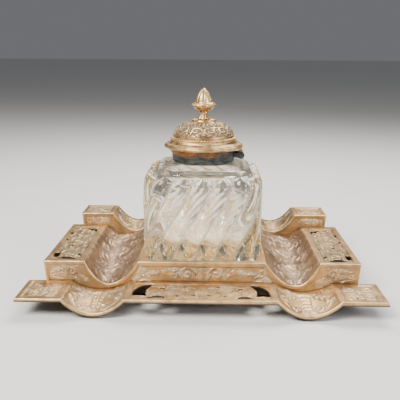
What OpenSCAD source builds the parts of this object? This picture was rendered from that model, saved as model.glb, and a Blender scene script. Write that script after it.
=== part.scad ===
// Brass inkstand with a square swirl-glass ink bottle and a hinged domed lid.
// Millimetres, +Z up, front towards -Y. The origin is the middle of the footprint on the desk.

/* [Stand] */
// Width of the front ledge over its two wings
ledge_w = 220; // [200:1:240]
// Width of the middle deck over its two blocks
deck_w = 200; // [190:1:206]
// Width of the rear ledge over its two blocks
rear_w = 186; // [176:1:188]
// Depth of the front ledge, front to back
ledge_d = 30; // [26:1:36]
// Depth of the middle deck, front to back
deck_d = 84; // [83:1:92]
// Depth of the rear ledge, front to back
rear_d = 25; // [20:1:32]
// Height of the front ledge's top above the desk
ledge_z = 12.5; // [12.5:0.5:13.5]
// Height of the middle deck's top above the desk
deck_z = 25.5; // [25:0.5:27]
// Height of the rear ledge's top above the desk
rear_z = 34.5; // [33:0.5:38]
// Thickness of the cast walls
wall = 2.2; // [2:0.1:2.4]

/* [Troughs] */
// Depth of the front scoops at their front lip
scoop_front = 9; // [7:0.5:9]
// Depth of the front scoops where they meet the front wall
scoop_back = 5.5; // [4:0.5:7]
// Depth of the pen troughs at the front wall
trough_front = 15; // [12:0.5:16]
// Depth of the pen troughs at the rear wall
trough_back = 7; // [6:0.5:8]
// Depth of the rear scoops at the rear wall
rear_scoop_front = 13; // [11:0.5:14]
// Depth of the rear scoops at the back edge
rear_scoop_back = 11; // [9:0.5:12]

/* [Bottle] */
// Width of the glass bottle across its flat sides
bottle_w = 77; // [75:0.5:77]
// Height of the glass bottle's body, base to collar
body_h = 60.5; // [58:0.5:63]
// Bore of the bottle's neck
neck_bore = 25; // [22:1:26]

/* [Lid] */
// Diameter of the lid over its rim moulding
lid_d = 52.6; // [51:0.2:54]
// Height of the lid from its rim to the top of its dome
lid_h = 21; // [20:0.5:22]
// Diameter of the hinge pin
pin_d = 2; // [1.8:0.1:2]
// Angle that the lid is drawn at, 0 when closed
lid_open = 0; // [0:5:105]

/* [Hidden] */
$fn = 96;

brass = "goldenrod";
dark_brass = "dimgray";
clear_glass = "lightcyan";

// Stations from front to back
y_front = -(ledge_d + deck_d + rear_d) / 2;
y_deck = y_front + ledge_d;
y_rear = y_deck + deck_d;
y_back = y_rear + rear_d;
seat_y = y_deck + deck_d / 2;

// Half widths of each tier: inner edge of its outer block, and edge of its middle part
ledge_block = ledge_w / 2 - 28;
ledge_mid = 46;
deck_block = deck_w / 2 - 26;
deck_mid = 40.5;
rear_block = rear_w / 2 - 24.5;
rear_mid = 36;

skirt_z = 4;
// Height of the opening under the rear wall
arch_z = 14;
seat_floor_z = deck_z - 3.5;
seat_fit = 0.5;
trough_steps = 18;
// Width of the thicker metal beside a trough
shoulder_w = 3;
// How far a trough's lowest line lies to the outside of its middle, as a share of its half width
trough_lean = 0.15;
// Inward lean of the side walls for each millimetre down from the top
draft = 0.1;

// Fret plates
fret_t = 1.6;
fret_drop = 0.3;
fret_frame = 3.4;
front_fret_half = ledge_mid - 3.5;
front_fret_d = ledge_d - fret_frame - 2;
side_fret_w = deck_w / 2 - deck_block - 2 * fret_frame;
side_fret_d = deck_d - 8;
rear_fret_w = 2 * rear_mid - 8;
rear_fret_d = rear_d - 8;

// Feet
foot_r = 5;
foot_h = skirt_z;
foot_stud_r = 1.4;
boss_r = 4.2;

// Bottle and collar
base_z = seat_floor_z;
shoulder_z = base_z + body_h;
neck_r = 17;
neck_top_z = shoulder_z + 8.8;
collar_r = 21.8;
collar_foot_r = 19.8;
collar_top_z = shoulder_z + 9.3;
collar_flange_t = 0.5;
cement_r = 18.4;

// Lid and hinge
rim_r = lid_d / 2;
lid_z = collar_top_z + 0.2;
rim_h = 7.5;
dome_z = lid_z + rim_h;
dome_top_z = lid_z + lid_h;
dome_t = 1.3;
dome_r = 20.5;
hinge_x = rim_r - 1.3;
hinge_z = lid_z - 4.6;
knuckle_r = 2.2;
knuckle_gap = 0.15;
lid_knuckle_w = 5;
collar_knuckle_w = 3.4;
pin_clear = 0.05;

// Finial
rod_r = 1.2;
cup_z = dome_top_z + 3.1;
bud_z = cup_z + 3.4;
bud_h = 11.6;

// ---- Stand ----

// Share of the way from a trough's lowest line to its edge, at t from -1 to 1 across the trough
function reach(t, lean) = t < lean ? (lean - t) / (1 + lean) : (t - lean) / (1 - lean);

// One trough's points [x, top, underside], its floor a parabola that falls depth below z
function trough(a, b, z, depth, lean) = [
    for (i = [0:trough_steps])
        let (
            u = reach(2 * i / trough_steps - 1, lean),
            floor_z = z - depth * (1 - u * u),
            slope = 4 * depth * u / (b - a)
        )
            [a + (b - a) * i / trough_steps, floor_z, floor_z - wall * sqrt(1 + slope * slope)]
];

// A whole ledge's section from its left end to its right end
function ledge_section(half, block, mid, z, depth, lean = 0) = concat(
    [[-half, z, z - wall], [-block - shoulder_w, z, z - wall]],
    trough(-block, -mid, z, depth, -lean),
    [[shoulder_w - mid, z, z - wall], [mid - shoulder_w, z, z - wall]],
    trough(mid, block, z, depth, lean),
    [[block + shoulder_w, z, z - wall], [half, z, z - wall]]
);

// Half a deck's section: the trough and then the block's top
function deck_section(depth) = concat(
    trough(deck_mid, deck_block, deck_z, depth, trough_lean),
    [[deck_block + shoulder_w, deck_z, deck_z - wall], [deck_w / 2, deck_z, deck_z - wall]]
);

// Depth at station y of a trough that runs from one depth at y0 to another at y1
function depth_at(y, y0, y1, d0, d1) = d0 + (d1 - d0) * (y - y0) / (y1 - y0);

// A cast shell between two sections with the same number of points, ruled from front to back
module ruled_shell(front, y0, back, y1) {
    n = len(front);
    points = concat(
        [for (p = front) [p[0], y0, p[1]]],
        [for (p = back) [p[0], y1, p[1]]],
        [for (p = front) [p[0], y0, p[2]]],
        [for (p = back) [p[0], y1, p[2]]]
    );
    faces = concat(
        [for (i = [0:n - 2]) [i, n + i + 1, i + 1]],
        [for (i = [0:n - 2]) [i, n + i, n + i + 1]],
        [for (i = [0:n - 2]) [2 * n + i, 2 * n + i + 1, 3 * n + i + 1]],
        [for (i = [0:n - 2]) [2 * n + i, 3 * n + i + 1, 3 * n + i]],
        [for (i = [0:n - 2]) [i, i + 1, 2 * n + i + 1]],
        [for (i = [0:n - 2]) [i, 2 * n + i + 1, 2 * n + i]],
        [for (i = [0:n - 2]) [n + i, 3 * n + i + 1, n + i + 1]],
        [for (i = [0:n - 2]) [n + i, 3 * n + i, 3 * n + i + 1]],
        [[0, 2 * n, 3 * n], [0, 3 * n, n]],
        [[n - 1, 2 * n - 1, 4 * n - 1], [n - 1, 4 * n - 1, 3 * n - 1]]
    );
    polyhedron(points, faces);
}

// An upright plate with outline [x, z], from station y towards the back
module upright(y, t) {
    translate([0, y + t, 0]) rotate([90, 0, 0]) linear_extrude(t) children();
}

// The window that a fret drops into, centred on x and y in a shell with its top at z
module window(w, d, y, z, x = 0) {
    translate([x, y, z]) cube([w, d, 2 * wall + 1], center = true);
}

// A pierced plate centred on the origin, with its crescents, slits and eyes cut through
module fret_plate(long, short) {
    linear_extrude(fret_t) difference() {
        square([long, short], center = true);
        for (sx = [-1, 1], sy = [-1, 1]) {
            // crescent behind each corner scroll
            difference() {
                translate([sx * (long / 2 - short * 0.26), sy * short * 0.28]) circle(r = short * 0.16);
                translate([sx * (long / 2 - short * 0.42), sy * short * 0.14]) circle(r = short * 0.21);
            }
            translate([sx * long * 0.09, sy * short * 0.24]) circle(r = short * 0.055);
            translate([sx * long * 0.26, sy * short * 0.36]) circle(r = short * 0.06);
        }
    }
}

// A broad pierced plate: a spandrel beyond each end scroll, and slits along its front border
module broad_fret_plate(long, short) {
    linear_extrude(fret_t) difference() {
        square([long, short], center = true);
        for (sx = [-1, 1]) {
            difference() {
                translate([sx * (long / 2 - 6), short / 2 - 9]) square([11, 16], center = true);
                translate([sx * (long / 2 - 13), short / 2 - 15]) circle(r = 10);
            }
            translate([sx * long * 0.33, 2 - short / 2]) square([8, 1.4], center = true);
            translate([sx * long * 0.09, short * 0.3]) circle(r = 0.9);
        }
    }
}

module front_ledge() {
    color(brass) difference() {
        ruled_shell(
            ledge_section(ledge_w / 2, ledge_block, ledge_mid, ledge_z, scoop_front), y_front,
            ledge_section(ledge_w / 2, ledge_block, ledge_mid, ledge_z, scoop_back), y_deck
        );
        window(2 * front_fret_half, front_fret_d, y_front + fret_frame + front_fret_d / 2, ledge_z);
    }
}

module front_fret() {
    color(brass)
        translate([0, y_front + fret_frame + front_fret_d / 2, ledge_z - fret_drop - fret_t])
            broad_fret_plate(2 * front_fret_half, front_fret_d);
}

// Half width at height z of a tier with half width half and its top at top_z
function drafted(half, top_z, z) = half - draft * (top_z - z);

module front_wall() {
    top = ledge_section(deck_w / 2, deck_block, deck_mid, deck_z, trough_front, trough_lean);
    foot = drafted(deck_w / 2, deck_z, skirt_z);
    outline = concat([for (p = top) [p[0], p[1]]], [[foot, skirt_z], [-foot, skirt_z]]);
    color(brass) upright(y_deck, wall) polygon(outline);
}

module right_deck() {
    y0 = y_deck + wall;
    d0 = depth_at(y0, y_deck, y_rear, trough_front, trough_back);
    color(brass) difference() {
        ruled_shell(deck_section(d0), y0, deck_section(trough_back), y_rear);
        window(side_fret_w, side_fret_d, (y_deck + y_rear) / 2, deck_z, (deck_block + deck_w / 2) / 2);
    }
}

module left_deck() {
    mirror([1, 0, 0]) right_deck();
}

module right_fret() {
    color(brass)
        translate([(deck_block + deck_w / 2) / 2, (y_deck + y_rear) / 2, deck_z - fret_drop - fret_t])
            rotate(90) fret_plate(side_fret_d, side_fret_w);
}

module left_fret() {
    mirror([1, 0, 0]) right_fret();
}

// Rounded square outline, its half width and corner radius given
module rounded_square(half, r) {
    square([2 * half, 2 * (half - r)], center = true);
    square([2 * (half - r), 2 * half], center = true);
    for (sx = [-1, 1], sy = [-1, 1]) translate([sx * (half - r), sy * (half - r)]) circle(r = r);
}

module bottle_seat() {
    well = bottle_w / 2 + seat_fit;
    color(brass) difference() {
        translate([-deck_mid, y_deck + wall, seat_floor_z - wall])
            cube([2 * deck_mid, deck_d - wall, deck_z - seat_floor_z + wall]);
        translate([0, seat_y + wall / 2, seat_floor_z]) linear_extrude(10) rounded_square(well, 11);
    }
}

module rear_wall() {
    top = ledge_section(rear_w / 2, rear_block, rear_mid, rear_z, rear_scoop_front);
    shelf = drafted(rear_w / 2, rear_z, deck_z);
    foot = drafted(deck_w / 2, deck_z, skirt_z);
    leg = foot - 12;
    outline = concat(
        [for (p = top) [p[0], p[1]]],
        [
            [shelf, deck_z], [deck_w / 2, deck_z], [foot, skirt_z], [leg, skirt_z],
            [leg, arch_z], [-leg, arch_z], [-leg, skirt_z], [-foot, skirt_z],
            [-deck_w / 2, deck_z], [-shelf, deck_z]
        ]
    );
    color(brass) upright(y_rear, wall) polygon(outline);
}

module rear_ledge() {
    y0 = y_rear + wall;
    y1 = y_back - wall;
    d0 = depth_at(y0, y_rear, y_back, rear_scoop_front, rear_scoop_back);
    d1 = depth_at(y1, y_rear, y_back, rear_scoop_front, rear_scoop_back);
    color(brass) difference() {
        ruled_shell(
            ledge_section(rear_w / 2, rear_block, rear_mid, rear_z, d0), y0,
            ledge_section(rear_w / 2, rear_block, rear_mid, rear_z, d1), y1
        );
        window(rear_fret_w, rear_fret_d, (y_rear + y_back) / 2, rear_z);
    }
}

module rear_fret() {
    color(brass) translate([0, (y_rear + y_back) / 2, rear_z - fret_drop - fret_t])
        fret_plate(rear_fret_w, rear_fret_d);
}

module back_wall() {
    top = ledge_section(rear_w / 2, rear_block, rear_mid, rear_z, rear_scoop_back);
    foot = drafted(rear_w / 2, rear_z, skirt_z);
    outline = concat([for (p = top) [p[0], p[1]]], [[foot, skirt_z], [-foot, skirt_z]]);
    color(brass) upright(y_back - wall, wall) polygon(outline);
}

// Distance of a foot's axis from the middle
function boss_x(half, top_z) = drafted(half, top_z, skirt_z) - wall - boss_r + 0.6;

// A side wall with the boss that a foot screws into
module side_wall(half, y0, y1, top_z, boss_y) {
    under = top_z - wall;
    foot = drafted(half, top_z, skirt_z);
    brow = drafted(half, top_z, under);
    color(brass) difference() {
        union() {
            upright(y0, y1 - y0)
                polygon([[foot, skirt_z], [brow, under], [brow - wall, under], [foot - wall, skirt_z]]);
            translate([boss_x(half, top_z), boss_y, foot_h]) cylinder(r = boss_r, h = under - foot_h);
        }
        translate([boss_x(half, top_z), boss_y, foot_h - 1]) cylinder(r = foot_stud_r + 0.1, h = 8);
    }
}

front_boss_y = y_deck + wall + 8;
rear_boss_y = y_back - wall - 8;

module right_side_wall() {
    side_wall(deck_w / 2, y_deck + wall, y_rear, deck_z, front_boss_y);
}

module left_side_wall() {
    mirror([1, 0, 0]) right_side_wall();
}

module rear_right_wall() {
    side_wall(rear_w / 2, y_rear + wall, y_back - wall, rear_z, rear_boss_y);
}

module rear_left_wall() {
    mirror([1, 0, 0]) rear_right_wall();
}

// A turned button foot with its stud
module foot(x, y) {
    color(brass) translate([x, y, 0]) {
        rotate_extrude() polygon([
            [0, 0], [foot_r - 1.4, 0], [foot_r - 0.5, 0.5], [foot_r, 1.6], [foot_r - 0.3, 2.6],
            [foot_r - 1.2, foot_h], [0, foot_h]
        ]);
        translate([0, 0, foot_h - 0.1]) cylinder(r = foot_stud_r, h = 6);
    }
}

module foot_front_right() {
    foot(boss_x(deck_w / 2, deck_z), front_boss_y);
}

module foot_front_left() {
    mirror([1, 0, 0]) foot_front_right();
}

module foot_rear_right() {
    foot(boss_x(rear_w / 2, rear_z), rear_boss_y);
}

module foot_rear_left() {
    mirror([1, 0, 0]) foot_rear_right();
}

// ---- Bottle ----

bottle_sides = 48;
half_w = bottle_w / 2;
wall_glass = 8;
floor_glass = 9;
inner_z = base_z + floor_glass;
bore_r = neck_bore / 2;

// Radius at angle a of a superellipse with half width h and power n
function squircle(h, n, a) = h / pow(pow(abs(cos(a)), n) + pow(abs(sin(a)), n), 1 / n);

// Ring on a rounded shoulder at angle s, 0 at the side and 90 at the top: [height, half width, power]
function shoulder(s, half, top_z, run, rise, n) = [
    top_z - rise * (1 - sin(s)), half - run * (1 - cos(s)), n - s / 25
];

// Rings of the glass, up the outside and down the inside: [height, half width, power]
bottle_rings = concat(
    [
        [base_z, half_w - 2.2, 7], [base_z + 0.7, half_w - 0.9, 7], [base_z + 2.4, half_w - 0.3, 7],
        [base_z + 24, half_w, 7]
    ],
    [for (s = [0:15:75]) shoulder(s, half_w - 0.1, shoulder_z - 1.2, 11, 9.6, 7)],
    [
        [shoulder_z - 0.9, half_w - 12, 3.2], [shoulder_z - 0.3, neck_r + 3, 2.3],
        [shoulder_z + 0.2, neck_r + 0.5, 2], [shoulder_z + 0.9, neck_r, 2], [neck_top_z, neck_r, 2],
        [neck_top_z, bore_r, 2], [shoulder_z - 2, bore_r, 2]
    ],
    [for (s = [75:-15:0]) shoulder(s, half_w - wall_glass, shoulder_z - 5, 12, 12, 5.5)],
    [
        [inner_z + 8, half_w - wall_glass, 5], [inner_z + 2, half_w - wall_glass - 3, 4.5],
        [inner_z, half_w - wall_glass - 9, 4]
    ]
);

// A closed surface through rings, capped at its first and last ring
module ring_loft(rings, sides) {
    n = len(rings);
    points = concat(
        [
            for (ring = rings, i = [0:sides - 1])
                let (a = 360 * (i + 0.5) / sides, r = squircle(ring[1], ring[2], a))
                    [r * cos(a), r * sin(a), ring[0]]
        ],
        [[0, 0, rings[0][0]], [0, 0, rings[n - 1][0]]]
    );
    faces = concat(
        [
            for (k = [0:n - 2], i = [0:sides - 1])
                [k * sides + i, (k + 1) * sides + (i + 1) % sides, k * sides + (i + 1) % sides]
        ],
        [
            for (k = [0:n - 2], i = [0:sides - 1])
                [k * sides + i, (k + 1) * sides + i, (k + 1) * sides + (i + 1) % sides]
        ],
        [for (i = [0:sides - 1]) [n * sides, i, (i + 1) % sides]],
        [
            for (i = [0:sides - 1])
                [n * sides + 1, (n - 1) * sides + (i + 1) % sides, (n - 1) * sides + i]
        ]
    );
    polyhedron(points, faces);
}

// Everything that lifts out with the bottle stands on the seat's middle
module on_seat() {
    translate([0, seat_y + wall / 2, 0]) children();
}

module bottle() {
    color(clear_glass, 0.4) on_seat() ring_loft(bottle_rings, bottle_sides);
}

module tube(r_out, r_in, z0, z1) {
    translate([0, 0, z0]) difference() {
        cylinder(r = r_out, h = z1 - z0);
        translate([0, 0, -1]) cylinder(r = r_in, h = z1 - z0 + 2);
    }
}

module neck_cement() {
    color("ivory") on_seat() tube(cement_r, neck_r + 0.02, shoulder_z + 1, neck_top_z);
}

module neck_collar() {
    foot = shoulder_z + 0.3;
    brow = collar_top_z - 3;
    lip = collar_top_z - collar_flange_t + 0.1;
    color(dark_brass) on_seat() rotate_extrude() polygon(concat(
        [[cement_r, foot + 0.6], [collar_foot_r - 0.6, foot], [collar_foot_r, foot + 0.2]],
        [for (s = [15:15:75]) [collar_foot_r + 1.4 * sin(s), brow - (brow - foot) * cos(s)]],
        [
            [collar_r - 0.6, brow], [collar_r, brow + 0.4], [collar_r, collar_top_z],
            [bore_r + 1, collar_top_z], [bore_r + 1, lip], [cement_r, lip]
        ]
    ));
}

// A barrel across the hinge, from y0 to y1
module barrel(y0, y1) {
    translate([hinge_x, y1, hinge_z]) rotate([90, 0, 0]) cylinder(r = knuckle_r, h = y1 - y0);
}

module pin_bore(half) {
    translate([hinge_x, half, hinge_z]) rotate([90, 0, 0])
        cylinder(r = pin_d / 2 + pin_clear, h = 2 * half);
}

module collar_knuckles() {
    y0 = lid_knuckle_w / 2 + knuckle_gap;
    color(dark_brass) on_seat() for (side = [0, 1]) mirror([0, side, 0])
        difference() {
            union() {
                barrel(y0, y0 + collar_knuckle_w);
                translate([collar_foot_r, y0, hinge_z - 1.2])
                    cube([hinge_x - collar_foot_r, collar_knuckle_w, 2.6]);
            }
            pin_bore(20);
            translate([0, 0, hinge_z - 10]) cylinder(r = collar_r - 0.6, h = 20);
        }
}

module hinge_pin() {
    half = lid_knuckle_w / 2 + knuckle_gap + collar_knuckle_w + 0.2;
    color(dark_brass) on_seat() translate([hinge_x, 0, hinge_z]) rotate([90, 0, 0]) {
        cylinder(r = pin_d / 2, h = 2 * half, center = true);
        for (side = [-1, 1]) translate([0, 0, side * (half + 0.3)])
            cylinder(r = pin_d / 2 + 0.4, h = 0.7, center = true);
    }
}

// ---- Lid ----

// The lid's pieces turn about the hinge pin
module on_hinge() {
    on_seat() translate([hinge_x, 0, hinge_z]) rotate([0, lid_open, 0])
        translate([-hinge_x, 0, -hinge_z]) children();
}

module lid_rim() {
    r = rim_r;
    z = lid_z;
    color(brass) on_hinge() rotate_extrude() polygon(concat(
        [[19.5, z], [r - 0.4, z]],
        [for (a = [-70:20:70]) [r - 1.2 + 1.2 * cos(a), z + 1.25 + 1.2 * sin(a)]],
        [for (a = [0:15:90]) [r - 1.2 - 3.2 * sin(a), z + 5.4 - 2.4 * cos(a)]],
        [for (a = [-60:30:90]) [r - 5.1 + 0.9 * cos(a), z + 6.4 + 0.9 * sin(a)]],
        [[dome_r - 0.2, z + rim_h], [19.5, z + rim_h]]
    ));
}

// Radius of the dome's outside at height share h, from 0 at the rim to 1 at the boss
function dome_at(h) = 3 + (dome_r - 3) * pow(1 - pow(h, 1.9), 1 / 1.7);
dome_h = dome_top_z - dome_z - 2;

module lid_dome() {
    steps = 14;
    outer = [for (i = [0:steps]) [dome_at(i / steps), dome_z + dome_h * i / steps]];
    inner = [
        for (i = [steps:-1:0])
            [max(dome_at(i / steps) - dome_t, rod_r + 0.1), dome_z + (dome_h - dome_t) * i / steps]
    ];
    color(brass) on_hinge() rotate_extrude() polygon(concat(
        outer, [[rod_r + 0.1, dome_z + dome_h]], inner
    ));
}

module lid_liner() {
    color(brass) on_hinge() rotate_extrude() polygon([
        [0, lid_z + 0.9], [16, lid_z + 0.9], [17, lid_z + 0.3], [19.45, lid_z + 0.3],
        [19.45, lid_z + 1.1], [17.3, lid_z + 1.1], [16.2, lid_z + 1.7], [0, lid_z + 1.7]
    ]);
}

module lid_knuckle() {
    color(brass) on_hinge() difference() {
        union() {
            barrel(-lid_knuckle_w / 2, lid_knuckle_w / 2);
            translate([hinge_x - 1.7, -lid_knuckle_w / 2, hinge_z])
                cube([2.4, lid_knuckle_w, lid_z - hinge_z]);
        }
        pin_bore(20);
    }
}

module finial_boss() {
    z = dome_z + dome_h;
    color(brass) on_hinge() rotate_extrude() polygon([
        [rod_r + 0.1, z], [4.6, z], [4.3, z + 0.9], [3.1, z + 2], [1.8, z + 3], [2.1, z + 3.6],
        [2.1, z + 4.3], [1.7, cup_z], [rod_r + 0.1, cup_z]
    ]);
}

module finial_cup() {
    color("darkgoldenrod") on_hinge() rotate_extrude() polygon(concat(
        [[rod_r + 0.1, cup_z], [1.8, cup_z]],
        [for (a = [0:15:75]) [2 + 3.9 * sin(a), cup_z + 0.2 + 3.2 * (1 - cos(a)) * 1.1]],
        [[6, bud_z], [rod_r + 0.1, bud_z]]
    ));
}

// Pointed bud above a ring of eight turned-out leaves
module finial_bud() {
    leaves = 8;
    color(brass) on_hinge() difference() {
        union() {
            rotate_extrude() polygon(concat(
                [[0, bud_z], [6.2, bud_z], [6.6, bud_z + 1.6], [5.2, bud_z + 2.6]],
                [
                    for (i = [1:9])
                        let (h = i / 9) [5.2 * pow(1 - pow(h, 1.7), 0.8), bud_z + 2.6 + (bud_h - 2.6) * h]
                ]
            ));
            for (i = [0:leaves - 1]) rotate(360 * i / leaves)
                translate([0, 0, bud_z + 0.5]) linear_extrude(1.1)
                    polygon([[3, -2.2], [6.6, -1.7], [8.5, 0], [6.6, 1.7], [3, 2.2]]);
        }
        translate([0, 0, bud_z - 1]) cylinder(r = rod_r + 0.1, h = 6);
    }
}

module finial_rod() {
    color("darkgray") on_hinge() translate([0, 0, dome_z + dome_h - 4.5])
        cylinder(r = rod_r, h = bud_z + 4 - (dome_z + dome_h - 4.5));
}

module finial_nut() {
    color("darkgray") on_hinge() translate([0, 0, dome_z + dome_h - dome_t - 1.9]) difference() {
        cylinder(r = 2.6, h = 1.8, $fn = 6);
        translate([0, 0, -1]) cylinder(r = rod_r + 0.03, h = 4);
    }
}

front_ledge();
front_wall();
left_deck();
right_deck();
bottle_seat();
rear_wall();
rear_ledge();
back_wall();
left_side_wall();
right_side_wall();
rear_left_wall();
rear_right_wall();
front_fret();
left_fret();
right_fret();
rear_fret();
foot_front_left();
foot_front_right();
foot_rear_left();
foot_rear_right();
bottle();
neck_cement();
neck_collar();
collar_knuckles();
hinge_pin();
lid_rim();
lid_dome();
lid_liner();
lid_knuckle();
finial_boss();
finial_cup();
finial_bud();
finial_rod();
finial_nut();
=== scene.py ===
import math

import bmesh
import bpy
import numpy as np
from mathutils import Matrix, Vector


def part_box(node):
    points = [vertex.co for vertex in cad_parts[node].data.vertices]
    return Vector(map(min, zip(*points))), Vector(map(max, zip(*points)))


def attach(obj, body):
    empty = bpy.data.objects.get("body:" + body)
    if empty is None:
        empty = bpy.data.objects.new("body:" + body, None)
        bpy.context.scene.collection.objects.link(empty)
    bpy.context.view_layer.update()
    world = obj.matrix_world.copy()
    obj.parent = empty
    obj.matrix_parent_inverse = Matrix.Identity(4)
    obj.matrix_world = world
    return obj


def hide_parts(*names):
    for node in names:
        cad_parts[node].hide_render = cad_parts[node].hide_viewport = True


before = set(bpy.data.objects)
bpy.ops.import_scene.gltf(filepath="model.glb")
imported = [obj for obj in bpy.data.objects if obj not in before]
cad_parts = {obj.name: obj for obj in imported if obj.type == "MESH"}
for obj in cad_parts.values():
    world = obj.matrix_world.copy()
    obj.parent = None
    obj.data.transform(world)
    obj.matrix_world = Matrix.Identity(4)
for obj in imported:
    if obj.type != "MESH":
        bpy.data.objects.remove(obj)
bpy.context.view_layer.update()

# Lengths are in millimetres up to the moment a mesh is made.
MM = 0.001
TAU = 2 * math.pi


def box(node):
    """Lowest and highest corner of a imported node, in millimetres."""
    return [np.array(corner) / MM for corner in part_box(node)]


# ---- Where things are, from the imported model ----

LEDGE, DECK, REAR = box("front_ledge"), box("right_deck"), box("rear_ledge")
SEAT, BOTTLE, RIM = box("bottle_seat"), box("bottle"), box("lid_rim")
DOME, COLLAR = box("lid_dome"), box("neck_collar")
Y_FRONT = LEDGE[0][1]
Y_DECK = LEDGE[1][1]
Y_REAR = DECK[1][1]
Y_BACK = box("back_wall")[1][1]
LEDGE_Z, DECK_Z, REAR_Z = LEDGE[1][2], DECK[1][2], REAR[1][2]
LEDGE_HALF, DECK_HALF, REAR_HALF = LEDGE[1][0], DECK[1][0], REAR[1][0]
SKIRT_Z = box("front_wall")[0][2]
WALL = box("front_wall")[1][1] - Y_DECK
AXIS_Y = (BOTTLE[0][1] + BOTTLE[1][1]) / 2

# Inner edge of each tier's outer block, and edge of its middle part
LEDGE_BLOCK, LEDGE_MID = LEDGE_HALF - 28, 46
DECK_BLOCK, DECK_MID = DECK_HALF - 26, DECK[0][0]
REAR_BLOCK, REAR_MID = REAR_HALF - 24.5, 36
# Depth of each trough at the front and at the back of its tier
SCOOP_FALL, TROUGH_FALL, REAR_FALL = (9, 5.5), (15, 7), (13, 11)
# How far a trough's lowest line lies towards its block, as a share of its half width
TROUGH_LEAN = 0.15
# How far the side walls lean in for each millimetre down
DRAFT = 0.1
# Grid step of the cast sheets
FINE = 0.5


# ---- Camera and lights ----

def make_camera(place, yaw, pitch, roll, lens):
    """Camera at place in millimetres, turned from +Y to the right by yaw and down by pitch."""
    data = bpy.data.cameras.new("camera")
    data.lens = lens
    data.sensor_width = 36
    data.clip_start = 0.01
    camera = bpy.data.objects.new("camera", data)
    bpy.context.collection.objects.link(camera)
    turn = Matrix.Rotation(-yaw, 3, "Z") @ Matrix.Rotation(math.pi / 2 - pitch, 3, "X")
    camera.rotation_euler = (turn @ Matrix.Rotation(roll, 3, "Z")).to_euler()
    camera.location = [v * MM for v in place]
    bpy.context.scene.camera = camera


def area_light(name, place, aim, size, power, colour):
    """A rectangular light at place, in metres, that faces aim."""
    data = bpy.data.lights.new(name, "AREA")
    data.shape = "RECTANGLE"
    data.size, data.size_y = size
    data.energy = power
    data.color = colour
    light = bpy.data.objects.new(name, data)
    bpy.context.collection.objects.link(light)
    light.location = place
    light.rotation_euler = (Vector(aim) - Vector(place)).to_track_quat("-Z", "Y").to_euler()


# ---- Node trees ----

class Value:
    """A number, colour, vector or shader in a finish. Arithmetic on numbers adds Math nodes."""

    def __init__(self, finish, socket):
        self.finish = finish
        self.socket = socket

    def __add__(self, other):
        return self.finish.math("ADD", self, other)

    def __sub__(self, other):
        return self.finish.math("SUBTRACT", self, other)

    def __rsub__(self, other):
        return self.finish.math("SUBTRACT", other, self)

    def __mul__(self, other):
        return self.finish.math("MULTIPLY", self, other)

    def __truediv__(self, other):
        return self.finish.math("DIVIDE", self, other)

    __radd__ = __add__
    __rmul__ = __mul__

    def held(self):
        """The number kept between 0 and 1."""
        return self.finish.node("ShaderNodeClamp", inputs={"Value": self})

    def between(self, low, high):
        """0 at low, 1 at high, and a soft step between them."""
        settings = {"interpolation_type": "SMOOTHSTEP"}
        inputs = {"Value": self, "From Min": low, "From Max": high}
        return self.finish.node("ShaderNodeMapRange", settings, inputs)


class Finish:
    """A material and the nodes that give it its look."""

    def __init__(self, name):
        self.material = bpy.data.materials.new(name)
        self.material.use_nodes = True
        self.tree = self.material.node_tree
        self.tree.nodes.clear()
        self.place = self.node("ShaderNodeTexCoord", out="Object")

    def node(self, kind, settings=None, inputs=None, out=0):
        """Adds a node; an input that is a Value is linked, any other is set."""
        made = self.tree.nodes.new(kind)
        for setting, value in (settings or {}).items():
            setattr(made, setting, value)
        for socket, value in (inputs or {}).items():
            if isinstance(value, Value):
                self.tree.links.new(value.socket, made.inputs[socket])
            else:
                made.inputs[socket].default_value = value
        return Value(self, made.outputs[out])

    def math(self, operation, first, second):
        return self.node("ShaderNodeMath", {"operation": operation}, {0: first, 1: second})

    def mix(self, share, first, second):
        """Colour first at share 0 and second at share 1."""
        inputs = {0: share}
        for socket, colour in ((6, first), (7, second)):
            inputs[socket] = colour if isinstance(colour, Value) else (*colour, 1)
        return self.node("ShaderNodeMix", {"data_type": "RGBA"}, inputs, out=2)

    def mark(self, name):
        """A number stored at each point of the mesh."""
        return self.node("ShaderNodeAttribute", {"attribute_name": name}, out="Fac")

    def noise(self, size, detail, stretch=None):
        """Soft noise, its blotches about size millimetres across."""
        place = self.place
        if stretch:
            inputs = {0: place, 1: stretch}
            place = self.node("ShaderNodeVectorMath", {"operation": "MULTIPLY"}, inputs)
        inputs = {"Vector": place, "Scale": 1 / (size * MM), "Detail": detail}
        return self.node("ShaderNodeTexNoise", inputs=inputs)

    def bump(self, height, strength, depth):
        """Small relief of the surface, depth in millimetres."""
        inputs = {"Height": height, "Strength": strength, "Distance": depth * MM}
        return self.node("ShaderNodeBump", inputs=inputs)

    def surface(self, shader, depth=None):
        """The finished material: its surface, and what fills it."""
        out = self.tree.nodes.new("ShaderNodeOutputMaterial")
        self.tree.links.new(shader.socket, out.inputs["Surface"])
        if depth is not None:
            self.tree.links.new(depth.socket, out.inputs["Volume"])
        return self.material

    def glossy(self, **inputs):
        """A Principled shader; an input's name has its spaces written as underscores."""
        named = {name.replace("_", " "): value for name, value in inputs.items()}
        return self.node("ShaderNodeBsdfPrincipled", inputs=named)


# Near-black painted shade for undersides, hole walls and walls beneath a ledge.
PAINTED_UNDER_SHADE = (0.03, 0.018, 0.011)
BLACK_WAX = (0.06, 0.048, 0.04)


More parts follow.
